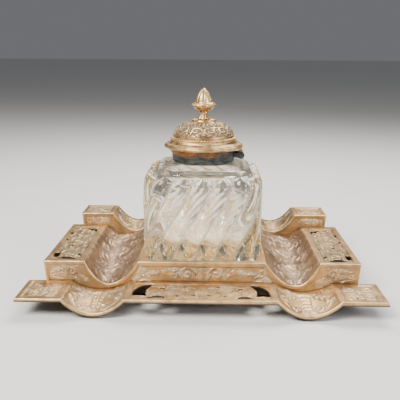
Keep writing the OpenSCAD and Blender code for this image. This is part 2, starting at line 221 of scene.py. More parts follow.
def aged_brass(name, recess, low, body, crest, warm, grime=1.0):
    """Gilt brass worn bright on its crests and edges, with a painted highlight along the edges, pale and
    black deposit in its nooks, and painted shade on its undersides.
    """
    finish = Finish(name)
    relief = finish.mark("relief")
    polish = finish.mark("polish")
    nook = finish.mark("nook")
    under = finish.mark("under")
    cloud = finish.noise(24, 3)
    mottle = finish.noise(5, 3)
    blotch = finish.noise(8.5, 4)
    speck = finish.noise(1.0, 2)
    grain = finish.noise(0.4, 1)
    deep = nook * 0.75 + (1 - relief) * 0.42 + (speck - 0.5) * 1.1 + (blotch - 0.5) * 1.9
    dirt = deep.between(0.36, 0.92) * grime * (1 - polish * 0.92)
    tone = finish.mix((cloud + (mottle - 0.5) * 0.8).between(0.34, 0.68), low, body)
    tone = finish.mix(mottle.between(0.5, 0.72) * 0.6, tone, warm)
    bright = relief + (mottle - 0.5) * 1.0 + (speck - 0.5) * 0.5 - polish * 0.1
    tone = finish.mix(bright.between(0.62, 1.1) * 0.75, tone, crest)
    pale = finish.mix(speck.between(0.44, 0.62), recess[0], recess[1])
    tone = finish.mix(dirt * 0.65, tone, pale)
    black = nook * 1.05 + (speck - 0.5) * 1.9 - (blotch - 0.5) * 1.3 - polish * 0.5
    dark = black.between(0.62, 1.1)
    tone = finish.mix(dark * 0.75, tone, BLACK_WAX)
    # Painted shade: the under mark turns the brass near black, rougher and less metallic.
    hidden = (under + (mottle - 0.5) * 0.25).between(0.15, 0.75)
    tone = finish.mix(hidden * 0.93, tone, PAINTED_UNDER_SHADE)
    rough = 0.41 + dirt * 0.28 + (speck - 0.5) * 0.16 + (mottle - 0.5) * 0.2 + hidden * 0.3
    shader = finish.glossy(
        Base_Color=tone,
        Roughness=rough.held(),
        Metallic=(0.93 - dirt * 0.75 - hidden * 0.5 - dark * 0.5).held(),
        Normal=finish.bump(grain * 0.4 + speck * 0.6 + mottle * 0.5, 0.4, 0.14),
    )
    return finish.surface(shader)


# ---- Ornament ----

# Shortest half width that a stroke tapers to, as a share of its full half width
POINTED = 0.08


def path(x, y, heading, length, bend=0.0, count=12):
    """Points along a curve that leaves (x, y) at heading and turns evenly by bend radians."""
    share = (np.arange(count - 1) + 0.5) / (count - 1)
    angle = heading + bend * share
    step = length / (count - 1)
    xs = x + np.concatenate([[0], np.cumsum(np.cos(angle)) * step])
    ys = y + np.concatenate([[0], np.cumsum(np.sin(angle)) * step])
    return np.stack([xs, ys], 1)


class Relief:
    """Ornament made of tapering strokes on a flat ground. Sizes are in millimetres."""

    def __init__(self):
        self.strokes = []

    def stroke(self, points, width, height, swell=0.35, tail=0.3):
        """A stroke that starts at tail of its half width, is full at swell, and ends in a point."""
        share = np.linspace(0, 1, len(points))
        opening = tail + (1 - tail) * np.sin(np.clip(share / swell, 0, 1) * math.pi / 2)
        closing = np.cos(np.clip((share - swell) / (1 - swell), 0, 1) * math.pi / 2)
        taper = np.minimum(opening, np.maximum(closing, POINTED))
        self.strokes.append((points, width * taper, height * (0.5 + 0.5 * taper)))

    def bead(self, x, y, radius, height):
        """A round bead."""
        points = np.array([(x - 0.01, y), (x + 0.01, y)])
        self.strokes.append((points, np.full(2, float(radius)), np.full(2, float(height))))

    def leaf(self, x, y, heading, length, bend, width, height, lobes):
        """An acanthus leaf: a rib with curling lobes on both sides, each about width long."""
        rib = path(x, y, heading, length, bend, 4 * lobes + 5)
        self.stroke(rib, width * 0.17 + 0.15, height)
        pitch = length / (lobes + 0.8)
        for k in range(lobes):
            along = (k + 0.35) / (lobes + 0.8)
            foot = rib[int(round(along * (len(rib) - 1)))]
            way = heading + bend * along
            reach = width * (1.35 - 0.6 * along)
            for side in (-1, 1):
                lobe = path(*foot, way + side * 0.95, reach, -side * 1.0, 9)
                self.stroke(lobe, min(pitch * 0.4, width * 0.34), height * 0.9, 0.45, 0.6)

    def scroll(self, x, y, radius, start, turns, width, height, lobes, lobe=0.65):
        """A volute whose outer end lies at angle start; turns above 0 wind in anticlockwise."""
        count = int(abs(turns) * 16) + 8
        share = np.linspace(0, 1, count)
        angle = start + TAU * turns * share
        r = radius * (1 - 0.84 * share ** 0.85)
        points = np.stack([x + r * np.cos(angle), y + r * np.sin(angle)], 1)
        widths = width * (0.45 + 0.55 * np.sin(math.pi * np.clip(share * 0.9 + 0.12, 0, 1)))
        self.strokes.append((points, widths, np.full(count, float(height))))
        self.bead(*points[-1], width * 0.95, height * 1.15)
        hand = 1 if turns > 0 else -1
        for k in range(lobes):
            i = int((k + 0.4) / lobes * 0.55 * count)
            heading = angle[i] + hand * 0.75
            size = radius * lobe * (1 - 0.3 * k / lobes)
            leaflet = path(*points[i], heading, size, hand * 0.9, 9)
            self.stroke(leaflet, width * 0.85, height * 0.9, 0.5, 0.6)

    def join(self, other, x=0.0, y=0.0, turn=0.0, flip=False):
        """Adds another ornament, flipped left to right first, then turned, then moved."""
        spin = np.array([[math.cos(turn), math.sin(turn)], [-math.sin(turn), math.cos(turn)]])
        hand = np.array([-1.0 if flip else 1.0, 1.0])
        for points, widths, heights in other.strokes:
            self.strokes.append(((points * hand) @ spin + (x, y), widths, heights))
        return self

    def doubled(self):
        """The ornament and its mirror image across x = 0."""
        return Relief().join(self).join(self, flip=True)

    def measure(self, x, y, value, empty):
        """Highest value of any stroke at each place; value takes distance, half width and height."""
        best = np.full(x.shape, float(empty))
        for points, widths, heights in self.strokes:
            margin = widths.max() + 1
            low, high = points.min(0) - margin, points.max(0) + margin
            near = (x > low[0]) & (x < high[0]) & (y > low[1]) & (y < high[1])
            if not near.any():
                continue
            here = np.stack([x[near], y[near]], -1)[:, None]
            span = points[1:] - points[:-1]
            length = (span ** 2).sum(-1) + 1e-9
            share = np.clip(((here - points[:-1]) * span).sum(-1) / length, 0, 1)
            gap = np.linalg.norm(here - points[:-1] - share[..., None] * span, axis=-1)
            width = widths[:-1] + share * (widths[1:] - widths[:-1])
            height = heights[:-1] + share * (heights[1:] - heights[:-1])
            best[near] = np.maximum(best[near], value(gap, width, height).max(1))
        return best

    def raised(self, x, y):
        """How far the ornament stands up from its ground; its wider strokes have a vein."""
        def dome(gap, width, height):
            vein = 0.3 * np.exp(-(gap / 0.2) ** 2) * (width > 0.7)
            return height * (np.clip(1 - (gap / width) ** 2, 0, 1) ** 0.75 - vein)

        return self.measure(x, y, dome, 0)

    def inside(self, x, y):
        """How far inside a stroke each place is; below 0 outside them all."""
        return self.measure(x, y, lambda gap, width, height: width - gap, -5)


# ---- Meshes ----

# Edges that turn more than this stay crisp
SHARP = math.radians(48)
# Points closer than this are joined
WELD_GAP = 0.02


def soft_step(x, low, high):
    """0 at low, 1 at high, and a soft step between them."""
    share = np.clip((x - low) / (high - low), 0, 1)
    return share * share * (3 - 2 * share)


def grid_lines(low, high, extra=()):
    """Evenly spaced grid lines, closer together just inside both ends, and through extra places."""
    near = np.array([0, 0.2, 0.5, 0.9])
    even = np.linspace(low + 1.3, high - 1.3, max(2, int(round((high - low - 2.6) / FINE)) + 1))
    even = even[[all(abs(v - e) > FINE * 0.6 for e in extra) for v in even]]
    return np.unique(np.concatenate([low + near, even, high - near, extra]))


def mesh_piece(name, points, faces, marks):
    """A smooth mesh from points in millimetres, with a number for each point under each mark."""
    mesh = bpy.data.meshes.new(name)
    mesh.from_pydata((points * MM).tolist(), [], faces)
    for mark, values in marks.items():
        layer = mesh.attributes.new(mark, "FLOAT", "POINT")
        layer.data.foreach_set("value", np.ascontiguousarray(values, np.float32))
    mesh.shade_smooth()
    mesh.set_sharp_from_angle(angle=SHARP)
    piece = bpy.data.objects.new(name, mesh)
    bpy.context.collection.objects.link(piece)
    return piece


# What the brass finish reads at each point: relief from 0 in the ground to 1 on a crest, polish on
# smooth frames, nook beside ornament, and under where painted shade falls on undersides and in holes
PLAIN_MARKS = {"relief": 0.6, "polish": 0.0, "nook": 0.0, "under": 0.0}
# Backs of plates take under 1: painted shade that also fades up each plate's edge.
BACK_MARKS = {"relief": 0.5, "polish": 0.0, "nook": 0.0, "under": 1.0}


def cast_sheet(name, face, back, marks, lift, keep=None):
    """A closed plate from two grids of points: its shown face, raised by lift, and its back."""
    rows, columns = face.shape[:2]
    normal = np.cross(np.gradient(face, axis=0), np.gradient(face, axis=1))
    normal /= np.linalg.norm(normal, axis=-1, keepdims=True) + 1e-12
    out = 1 if ((face - back) * normal).sum() > 0 else -1
    face = face + normal * lift[..., None] * out
    keep = np.ones((rows - 1, columns - 1), bool) if keep is None else keep
    index = np.arange(rows * columns).reshape(rows, columns)
    under = rows * columns
    corners = [index[:-1, :-1], index[1:, :-1], index[1:, 1:], index[:-1, 1:]]
    top = np.stack(corners, -1)[keep]
    quads = [top, top[:, ::-1] + under]
    padded = np.pad(keep, 1)
    before, after = padded[:-1, 1:-1], padded[1:, 1:-1]
    first, second = index[:, :-1], index[:, 1:]
    quads += side_walls(first, second, after & ~before, before & ~after, under)
    before, after = padded[1:-1, :-1], padded[1:-1, 1:]
    first, second = index[:-1, :], index[1:, :]
    quads += side_walls(first, second, before & ~after, after & ~before, under)
    quads = np.concatenate(quads)
    if out < 0:
        quads = quads[:, ::-1]
    points = np.concatenate([face.reshape(-1, 3), back.reshape(-1, 3)])
    stored = {}
    for mark, hidden in BACK_MARKS.items():
        shown = np.broadcast_to(marks.get(mark, PLAIN_MARKS[mark]), (rows, columns))
        stored[mark] = np.concatenate([shown.ravel(), np.full(under, hidden)])
    used = np.unique(quads)
    renumber = np.full(len(points), -1)
    renumber[used] = np.arange(len(used))
    stored = {mark: values[used] for mark, values in stored.items()}
    return mesh_piece(name, points[used], renumber[quads].tolist(), stored)


def side_walls(first, second, forward, backward, under):
    """Quads from the face down to the back along the edges where the plate ends."""
    walls = []
    for where, a, b in ((forward, first, second), (backward, second, first)):
        walls.append(np.stack([a[where], b[where], b[where] + under, a[where] + under], -1))
    return walls


def snapped(u, v, inside):
    """Grid places moved onto the outline of what inside cuts away, and the quads that stay."""
    field = -inside(u, v)
    step_u, step_v = np.gradient(u, axis=0), np.gradient(v, axis=1)
    slope_u = np.gradient(field, axis=0) / step_u
    slope_v = np.gradient(field, axis=1) / step_v
    steep = slope_u ** 2 + slope_v ** 2 + 1e-6
    cell = np.minimum(step_u, step_v)
    near = np.abs(field) < 0.62 * cell * np.sqrt(steep)
    u = np.where(near, u - field * slope_u / steep, u)
    v = np.where(near, v - field * slope_v / steep, v)
    solid = near | (field > 0)
    keep = solid[:-1, :-1] & solid[1:, :-1] & solid[1:, 1:] & solid[:-1, 1:]
    middle = (field[:-1, :-1] + field[1:, :-1] + field[1:, 1:] + field[:-1, 1:]) / 4
    return u, v, keep & (middle > -0.05)


def bands(index):
    """Quads between neighbouring rings of points, from the rings' point numbers."""
    ahead = np.roll(index, -1, axis=1)
    return np.stack([index[:-1], ahead[:-1], ahead[1:], index[1:]], -1).reshape(-1, 4).tolist()


def turned(name, profile, sides, shape=None, marks=None, closed=True):
    """A piece turned about the bottle's axis from (radius, height); shape moves points outwards."""
    profile = np.array(profile, float)
    angle = np.arange(sides) * TAU / sides
    radius = np.repeat(profile[:, :1], sides, 1)
    height = np.repeat(profile[:, 1:], sides, 1)
    if shape is not None:
        tangent = np.gradient(profile, axis=0)
        normal = np.stack([tangent[:, 1], -tangent[:, 0]], 1)
        normal /= np.linalg.norm(normal, axis=1, keepdims=True) + 1e-9
        out = shape(angle, radius, height)
        radius = radius + normal[:, :1] * out
        height = height + normal[:, 1:] * out
    points = np.stack([radius * np.cos(angle), AXIS_Y + radius * np.sin(angle), height], -1)
    count = len(profile)
    index = np.arange(count * sides).reshape(count, sides)
    quads = bands(np.concatenate([index, index[:1]]) if closed else index)
    found = {**PLAIN_MARKS, **(marks or {})}
    spread = {m: np.broadcast_to(v, (count, sides)).ravel() for m, v in found.items()}
    piece = mesh_piece(name, points.reshape(-1, 3), quads, spread)
    if not closed:
        weld(piece)
    return piece


def weld(piece):
    """Joins points that lie in the same place, as at the middle of a turned piece."""
    work = bmesh.new()
    work.from_mesh(piece.data)
    bmesh.ops.remove_doubles(work, verts=work.verts, dist=WELD_GAP * MM)
    bmesh.ops.recalc_face_normals(work, faces=work.faces)
    work.to_mesh(piece.data)
    work.free()


def finished(piece, body, material, node):
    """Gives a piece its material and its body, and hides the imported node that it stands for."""
    piece.data.materials.append(material)
    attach(piece, body)
    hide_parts(node)


# ---- The stand's sections ----

def trough_reach(x, block, mid, lean):
    """Share of the way from a trough's lowest line to its edge, above 1 outside the trough."""
    t = (2 * np.abs(x) - (block + mid)) / (block - mid)
    return np.where(t < lean, (lean - t) / (1 + lean), (t - lean) / (1 - lean))


def tier_height(x, y, span, top, block, mid, falls, lean=0.0):
    """Height of a tier's top over x and y, with its two troughs; span is its front and back."""
    share = np.clip((y - span[0]) / (span[1] - span[0]), 0, 1)
    depth = falls[0] + (falls[1] - falls[0]) * share
    reach = np.clip(trough_reach(x, block, mid, lean), 0, 1)
    return top - depth * (1 - reach ** 2)


def ledge_top(x, y):
    """Height of the front ledge."""
    return tier_height(x, y, (Y_FRONT, Y_DECK), LEDGE_Z, LEDGE_BLOCK, LEDGE_MID, SCOOP_FALL)


def deck_top(x, y):
    """Height of the middle deck."""
    span = (Y_DECK, Y_REAR)
    return tier_height(x, y, span, DECK_Z, DECK_BLOCK, DECK_MID, TROUGH_FALL, TROUGH_LEAN)


def rear_top(x, y):
    """Height of the rear ledge."""
    return tier_height(x, y, (Y_REAR, Y_BACK), REAR_Z, REAR_BLOCK, REAR_MID, REAR_FALL)


def thickness(x, z):
    """Upright thickness that keeps the wall even where the section slopes along x."""
    slope = np.gradient(z, axis=0) / np.gradient(x, axis=0)
    return WALL * np.sqrt(1 + np.minimum(slope ** 2, 4))


def edge_round(distance, radius=0.8):
    """How far a rounded edge falls away at a distance inside the outline."""
    short = np.clip(radius - distance, 0, radius)
    return radius - np.sqrt(np.maximum(radius ** 2 - short ** 2, 0))


def frame_distance(x, y, low, high):
    """Distance inside a rectangle, below 0 outside."""
    return np.minimum(np.minimum(x - low[0], high[0] - x), np.minimum(y - low[1], high[1] - y))


# ---- Finishes ----

brass = aged_brass(
    "gilt_brass",
    recess=((0.56, 0.475, 0.345), (0.36, 0.34, 0.28)),
    low=(0.43, 0.275, 0.14),
    body=(0.66, 0.425, 0.19),
    crest=(0.82, 0.60, 0.31),
    warm=(0.56, 0.31, 0.125),
)
trough_brass = aged_brass(
    "trough_brass",
    recess=((0.34, 0.27, 0.20), (0.25, 0.22, 0.18)),
    low=(0.27, 0.17, 0.105),
    body=(0.40, 0.265, 0.17),
    crest=(0.86, 0.70, 0.50),
    warm=(0.50, 0.29, 0.15),
    grime=0.7,
)
fret_brass = aged_brass(
    "fret_brass",
    recess=((0.24, 0.18, 0.10), (0.15, 0.125, 0.09)),
    low=(0.34, 0.22, 0.11),
    body=(0.52, 0.35, 0.175),
    crest=(0.80, 0.59, 0.32),
    warm=(0.44, 0.27, 0.12),
)
lid_brass = aged_brass(
    "lid_brass",
    recess=((0.22, 0.16, 0.085), (0.12, 0.10, 0.075)),
    low=(0.41, 0.25, 0.10),
    body=(0.72, 0.475, 0.215),
    crest=(0.95, 0.73, 0.40),
    warm=(0.60, 0.34, 0.15),
)


def tarnished_brass():
    """Dark collar brass: blue-grey tarnish, with copper showing through above at one side."""
    finish = Finish("verdigris_brass")
    height = finish.node("ShaderNodeSeparateXYZ", inputs={0: finish.place}, out=2)
    across = finish.node("ShaderNodeSeparateXYZ", inputs={0: finish.place}, out=0)
    cloud = finish.noise(9, 3)
    streak = finish.noise(5, 3, stretch=(1, 1, 5))
    mottle = finish.noise(1.6, 2, stretch=(1, 1, 2.5))
    speck = finish.noise(0.6, 2)
    edge = height / MM + (cloud - 0.5) * 3
    band = edge.between(COLLAR[1][2] - 4.2, COLLAR[1][2] - 2.8)
    side = (0.5 - across / MM * 0.022 + (cloud - 0.5) * 1.2).between(0.25, 0.75)
    copper = finish.mix(mottle.between(0.35, 0.65), (0.15, 0.062, 0.022), (0.36, 0.165, 0.06))
    dull = finish.mix(streak.between(0.4, 0.6), (0.035, 0.032, 0.03), (0.085, 0.078, 0.07))
    above = finish.mix(side, dull, copper)
    blue = finish.mix(streak.between(0.4, 0.62), (0.026, 0.030, 0.033), (0.080, 0.092, 0.094))
    tone = finish.mix(band, blue, above)
    tone = finish.mix(speck.between(0.6, 0.72) * 0.3, tone, (0.20, 0.22, 0.20))
    rough = 0.4 + (mottle - 0.5) * 0.3 + (1 - band) * 0.1
    shader = finish.glossy(
        Base_Color=tone,
        Roughness=rough.held(),
        Metallic=(0.6 + band * 0.3).held(),
        Normal=finish.bump(speck * 0.5 + streak, 0.35, 0.15),
    )
    return finish.surface(shader)


def plain_metal(name, dark, light, rough):
    """Metal with a light mottle."""
    finish = Finish(name)
    cloud = finish.noise(3, 3)
    speck = finish.noise(0.75, 2)
    tone = finish.mix((cloud + (speck - 0.5) * 0.5).between(0.35, 0.65), dark, light)
    shader = finish.glossy(
        Base_Color=tone,
        Roughness=(rough + (speck - 0.5) * 0.3).held(),
        Metallic=0.92,
        Normal=finish.bump(speck, 0.3, 0.1),
    )
    return finish.surface(shader)


def plaster_finish():
    """The matt plaster that beds the collar."""
    finish = Finish("plaster")
    cloud = finish.noise(2.5, 4)
    tone = finish.mix(cloud.between(0.35, 0.65), (0.52, 0.47, 0.38), (0.74, 0.70, 0.62))
    shader = finish.glossy(Base_Color=tone, Roughness=0.85, Normal=finish.bump(cloud, 0.5, 0.3))
    return finish.surface(shader)


def glass_finish():
    """Old pressed glass, a little green in its depth, with dried haze inside and painted shade along the
    flute valleys.
    """
    finish = Finish("clear_glass")
    haze = finish.mark("haze")
    cloud = finish.noise(14, 4)
    streak = finish.noise(3, 3, stretch=(1, 1, 0.25))
    ripple = finish.noise(7, 1)
    smear = finish.noise(20, 2)
    glass = finish.glossy(
        Base_Color=(0.985, 0.972, 0.935, 1),
        Roughness=(smear.between(0.5, 0.75) * 0.05).held(),
        IOR=1.5,
        Transmission_Weight=1.0,
        Normal=finish.bump(ripple, 0.12, 0.4),
    )
    valley_shade = finish.mark("valley_shade")
    haze_and_valley_shade_tone = finish.mix(cloud, (0.70, 0.58, 0.46), (0.90, 0.82, 0.72))
    # Painted shade: dark brown lines along the flute valleys stand in for the dark surroundings that they
    # refract.
    haze_and_valley_shade_tone = finish.mix(valley_shade, haze_and_valley_shade_tone, (0.20, 0.14, 0.095))
    haze_and_valley_shade_film = finish.glossy(Base_Color=haze_and_valley_shade_tone, Roughness=0.6)
    patchy = (cloud + (streak - 0.5) * 0.9).between(0.32, 0.72)
    cover = haze * (0.2 + patchy * 0.8) + valley_shade * (0.5 + patchy * 0.4)
    coated = finish.node("ShaderNodeMixShader", inputs={0: cover.held(), 1: glass, 2: haze_and_valley_shade_film})
    clear = finish.node("ShaderNodeBsdfTransparent", inputs={"Color": (0.93, 0.93, 0.91, 1)})
    shadow = finish.node("ShaderNodeLightPath", out="Is Shadow Ray")
    shader = finish.node("ShaderNodeMixShader", inputs={0: shadow, 1: coated, 2: clear})
    depth = {"Color": (0.82, 0.82, 0.56, 1), "Density": 9.0}
    return finish.surface(shader, finish.node("ShaderNodeVolumeAbsorption", inputs=depth))


verdigris = tarnished_brass()
copper = plain_metal("copper_brass", (0.22, 0.105, 0.035), (0.52, 0.30, 0.115), 0.32)
steel = plain_metal("steel", (0.25, 0.24, 0.23), (0.45, 0.43, 0.41), 0.4)
plaster = plaster_finish()
glass = glass_finish()


# ---- Ornament designs, in millimetres from the middle of each panel ----

def four_fold(quarter):
    """A quarter of an ornament, repeated to all four corners."""
    art = Relief()
    for turn in (0, math.pi):
        art.join(quarter, turn=turn)
        art.join(quarter, turn=turn, flip=True)
    return art


def panel_art(half_u, half_v, height):
    """Foliage for a small panel: a flower in the middle and a leafy scroll in each corner."""
    quarter = Relief()
    size = min(half_u, half_v)
    corner = (half_u - size * 0.52, half_v - size * 0.5)
    quarter.scroll(*corner, size * 0.42, 3.6, 1.2, size * 0.11, height, 3)
    quarter.leaf(size * 0.15, 0, 0.0, half_u * 0.8, 0.35, size * 0.26, height, 3)
    quarter.leaf(0, size * 0.15, math.pi / 2, half_v * 0.7, -0.3, size * 0.24, height, 3)
    quarter.stroke(path(half_u * 0.35, half_v * 0.3, 0.6, half_u * 0.5, -0.9), size * 0.1, height)
    art = four_fold(quarter)
    art.bead(0, 0, size * 0.15, height * 1.3)
    return art


def bar_art(half_u, half_v, height):
    """Foliage for a long low panel: leaves and scrolls running out both ways."""
    half = Relief()
    half.scroll(half_u * 0.36, 0, half_v * 0.66, 2.6, -1.3, half_v * 0.2, height, 3, 0.5)
    half.leaf(half_u * 0.5, -half_v * 0.4, 0.25, half_u * 0.5, 0.4, half_v * 0.5, height, 3)
    half.leaf(half_u * 0.55, half_v * 0.45, -0.2, half_u * 0.42, -0.3, half_v * 0.44, height, 3)
    half.leaf(0, -half_v * 0.55, math.pi / 2, half_v * 1.25, -0.2, half_v * 0.5, height, 3)
    return half.doubled()


def front_wall_art(height):
    """Two open scrolls about a leaf in the middle, and foliage out to the corners."""
    half = Relief()
    half.scroll(9.2, 17.6, 5.3, 3.5, -1.35, 1.05, height, 4, 0.4)
    half.leaf(13.5, 15.4, 0.5, 13, -0.55, 2.8, height, 4)
    half.leaf(15.5, 20.6, -0.35, 12.5, 0.3, 2.4, height, 4)
    half.leaf(27, 17.2, 0.3, 7.5, -0.6, 2.0, height, 3)
    half.leaf(0.4, 13.6, math.pi / 2 - 0.1, 8.6, -0.2, 2.8, height, 4)
    half.stroke(path(3.2, 14.2, 0.6, 6, 0.8), 0.9, height)
    half.scroll(37.6, 18.6, 2.5, 3.9, 1.2, 0.75, height, 3, 0.7)
    half.stroke(path(33, 14.6, 0.5, 7, 0.5), 0.8, height)
    half.scroll(82.2, 18.4, 3.5, 5.6, 1.25, 0.85, height, 4, 0.6)
    half.leaf(84.5, 15.2, 0.35, 9.5, -0.5, 2.4, height, 4)
    half.leaf(86, 20.6, -0.15, 8.5, -0.35, 2.2, height, 3)
    half.scroll(94, 17.4, 2.3, 1.6, 1.2, 0.7, height, 3, 0.6)
    half.bead(79, 22, 0.9, height)
    half.leaf(72.5, 11.4, 0.75, 8.5, -0.3, 2.2, height, 4)
    half.leaf(74.5, 12.6, 0.1, 9, 0.2, 1.9, height, 4)
    half.stroke(path(88, 13.4, 0.1, 9, 0.3), 0.8, height)
    half.leaf(43.4, 11.6, math.pi - 0.8, 7, 0.3, 2.0, height, 3)
    half.stroke(path(40.5, 12.6, math.pi - 0.2, 8, 0.4), 0.7, height)
    return half.doubled()


def rear_wall_art(height):
    """Small bars of foliage along the top of the rear wall."""
    half = Relief()
    half.join(bar_art(9.2, 3.2, height), 81, 28.7)
    half.join(bar_art(17, 3.2, height), 19, 28.9)
    return half.doubled()


def back_wall_art(height):
    """The rear wall's bars, with a row of larger ones below."""
    art = rear_wall_art(height)
    for x in (20, -20, 60, -60):
        art.join(bar_art(18, 5.0, height), x, 14)
    return art


def scoop_art(length, height):
    """A fan of acanthus leaves that opens from the back of a scoop towards its front."""
    half = Relief()
    half.leaf(0.3, length * 0.42, -math.pi / 2 - 0.04, length * 0.8, 0.08, 4.2, height, 5)
    half.leaf(3.5, length * 0.4, -math.pi / 2 + 0.45, length * 0.62, 0.55, 3.6, height, 4)
    half.leaf(7.5, length * 0.42, -math.pi / 2 + 1.0, length * 0.42, 0.35, 2.8, height, 4)
    half.scroll(5.8, -length * 0.3, length * 0.11, 2.2, -1.2, 0.9, height, 3, 0.8)
    half.scroll(12.4, -length * 0.1, length * 0.1, 4.2, 1.2, 0.8, height, 3, 0.8)
    half.stroke(path(9, -length * 0.36, 0.5, 8, 0.9), 0.9, height)
    return half.doubled()


def trough_art(height):
    """Curling leaves that cover a trough, each with a smaller one inside its curl."""
    art = Relief()
    for row in range(7):
        for column, x in enumerate((-18.5, -9.2, 0, 9.2, 18.5)):
            side = 1 if (row + column) % 2 else -1
            lean = math.pi / 2 - side * 0.9 + 0.35 * math.sin(1.7 * row + 2.1 * column)
            y = -42 + 12.6 * row + 6.3 * (column % 2)
            art.stroke(path(x - side * 2.6, y, lean, 16, side * 2.5, 20), 1.15, height)
            art.stroke(path(x + side * 1.6, y + 1.5, lean, 9.5, side * 2.1, 14), 0.75, height)
            spray = path(x + side * 4.6, y - 3, lean + side * 0.5, 8.5, -side * 1.4, 12)
            art.stroke(spray, 0.7, height)
    return art


def front_fret_art(height):
    """Three scrolls with leaves on each side of a tall leaf."""
    half = Relief()
    half.leaf(0.3, -9.8, math.pi / 2 - 0.05, 17, -0.1, 3.4, height, 6)
    half.scroll(8.0, 3.2, 5.0, 3.6, -1.4, 0.95, height, 4, 0.55)
    half.leaf(5.2, -9.2, 0.55, 12, 0.7, 2.8, height, 5)
    half.scroll(17.0, 0.4, 5.6, 2.3, -1.45, 1.05, height, 5, 0.6)
    half.leaf(12.0, 9.6, 0.0, 13, -0.35, 2.4, height, 5)
    half.scroll(26.4, -3.4, 5.4, 2.6, -1.5, 1.1, height, 5, 0.5)
    half.leaf(21.5, 4.6, 0.55, 11.5, -0.2, 2.4, height, 5)
    half.stroke(path(20.5, -8.6, 0.2, 9, -0.5), 0.9, height)
    half.stroke(path(21, 7.6, 0.25, 9, 0.2), 0.8, height)
    half.stroke(path(33.2, -3, 1.35, 13, 0.35, 16), 0.9, height)
    half.stroke(path(31.6, -8.8, 0.25, 9, -0.1), 0.8, height)
    half.stroke(path(2, -11.0, 0.02, 20, 0.03), 0.6, height)
    half.stroke(path(12.4, -8.6, 0.9, 7, -0.9), 0.8, height)
    return half.doubled()


def side_fret_art(height):
    """Scrolls of alternate hand up the length of a side fret."""
    art = Relief()
    for k, y in enumerate((-27, -13.5, 0.5, 14.5, 28)):
        side = -1 if k % 2 else 1
        art.scroll(-side * 1.0, y, 5.9, math.pi / 2 + side * 1.0, side * 1.5, 0.85, height, 5, 0.6)
        art.leaf(side * 5.6, y + 2.6, math.pi / 2 - side * 0.2, 9.0, side * 1.0, 2.0, height, 5)
        art.leaf(-side * 6.6, y + 4.6, math.pi / 2 + side * 0.3, 6.5, -side * 0.7, 1.6, height, 4)
        art.stroke(path(-side * 7.6, y + 1, math.pi / 2, 9, -side * 0.6), 0.7, height)
        art.stroke(path(side * 7.9, y - 5, math.pi / 2, 9, side * 0.4), 0.7, height)
        art.stroke(path(side * 2.4, y - 7.2, side * 0.5 + math.pi / 2, 7, -side * 1.3), 0.65, height)
    return art


# ---- Holes in the frets ----

def ring_of(points):
    """A smooth closed outline through a few corner points."""
    ring = np.array(points, float)
    for _ in range(3):
        after = np.roll(ring, -1, axis=0)
        ring = np.stack([ring * 0.75 + after * 0.25, ring * 0.25 + after * 0.75], 1).reshape(-1, 2)
    return ring


def within(x, y, ring):
    """Distance inside a closed outline, below 0 outside."""
    nearest = np.full(x.shape, 1e9)
    crossed = np.zeros(x.shape, bool)
    for a, b in zip(ring, np.roll(ring, -1, axis=0)):
        span = b - a
        from_x, from_y = x - a[0], y - a[1]
        share = np.clip((from_x * span[0] + from_y * span[1]) / (span @ span + 1e-9), 0, 1)
        nearest = np.minimum(nearest, np.hypot(from_x - share * span[0], from_y - share * span[1]))
        spans = (a[1] > y) != (b[1] > y)
        crossing = a[0] + from_y * span[0] / (span[1] if abs(span[1]) > 1e-9 else 1e-9)
        crossed ^= spans & (x < crossing)
    return np.where(crossed, nearest, -nearest)


def cuts(rings, slits):
    """How far inside a hole each place is, for holes with these outlines and slits."""
    def inside(x, y):
        deepest = slits.inside(x, y)
        for ring in rings:
            deepest = np.maximum(deepest, within(x, y, ring))
        return deepest
    return inside


def front_fret_cuts():
    """A horn-shaped hole and a slit at each end of the front fret, and small holes between."""
    ring = ring_of([
        (41.5, -5.8), (41.5, -5.8), (41.5, 1.5), (39.8, 6.0), (36.8, 10.2), (33.5, 11.4), (29.8, 11.5),
        (31.4, 8.8), (33.4, 4.4), (33.8, 1), (34.0, -2), (33.0, -7.0), (33.0, -7.0), (38, -6.4)
    ])
    slits = Relief()
    slits.stroke(path(31.8, -9.2, math.pi - 0.05, 9.6, 0.1), 2.1, 1, 0.75, 0.2)
    slits.stroke(path(39, -10.9, 0, 2.6), 0.5, 1)
    slits.stroke(path(9.4, 8.6, -1.2, 3.4, 1.1), 1.0, 1)
    slits.stroke(path(3.6, -4.8, -0.2, 2.6, 0.9), 0.7, 1)
    slits.stroke(path(22.6, 4.0, 0.8, 3.4, -0.9), 0.6, 1)
    slits.stroke(path(13.2, -7.4, 0.3, 3.2, 0.7), 0.6, 1)
    return cuts([ring, ring * (-1, 1)], slits.doubled())


def side_fret_cuts():
    """Curved slits round both ends of a side fret, and small holes up its outer side."""
    slits = Relief()
    slits.stroke(path(7.9, -30.6, math.pi / 2 - 0.1, 9.4, 0.4), 1.6, 1, 0.4, 0.7)
    slits.stroke(path(6.0, -32.6, math.pi + 0.1, 12.2, 0.15), 1.8, 1, 0.7, 0.3)
    slits.stroke(path(-6.2, -25.6, -2.0, 5.4, 0.5), 0.9, 1, 0.6, 0.4)
    slits.stroke(path(4.2, -30.4, 2.9, 2.0), 0.7, 1)
    slits.stroke(path(-8.3, -10.8, 1.7, 3.4, 0.4), 0.85, 1)
    slits.stroke(path(2.8, -7.4, 2.8, 2.6), 0.8, 1)
    slits.stroke(path(8.9, 4.4, 1.5, 3.2, 0.5), 0.7, 1)
    slits.stroke(path(8.8, 18.8, 1.5, 6.8, 0.8), 0.9, 1)
    slits.stroke(path(4.6, 34.9, math.pi + 0.1, 15.6, 0.95), 2.0, 1, 0.7, 0.15)
    return cuts([], slits)


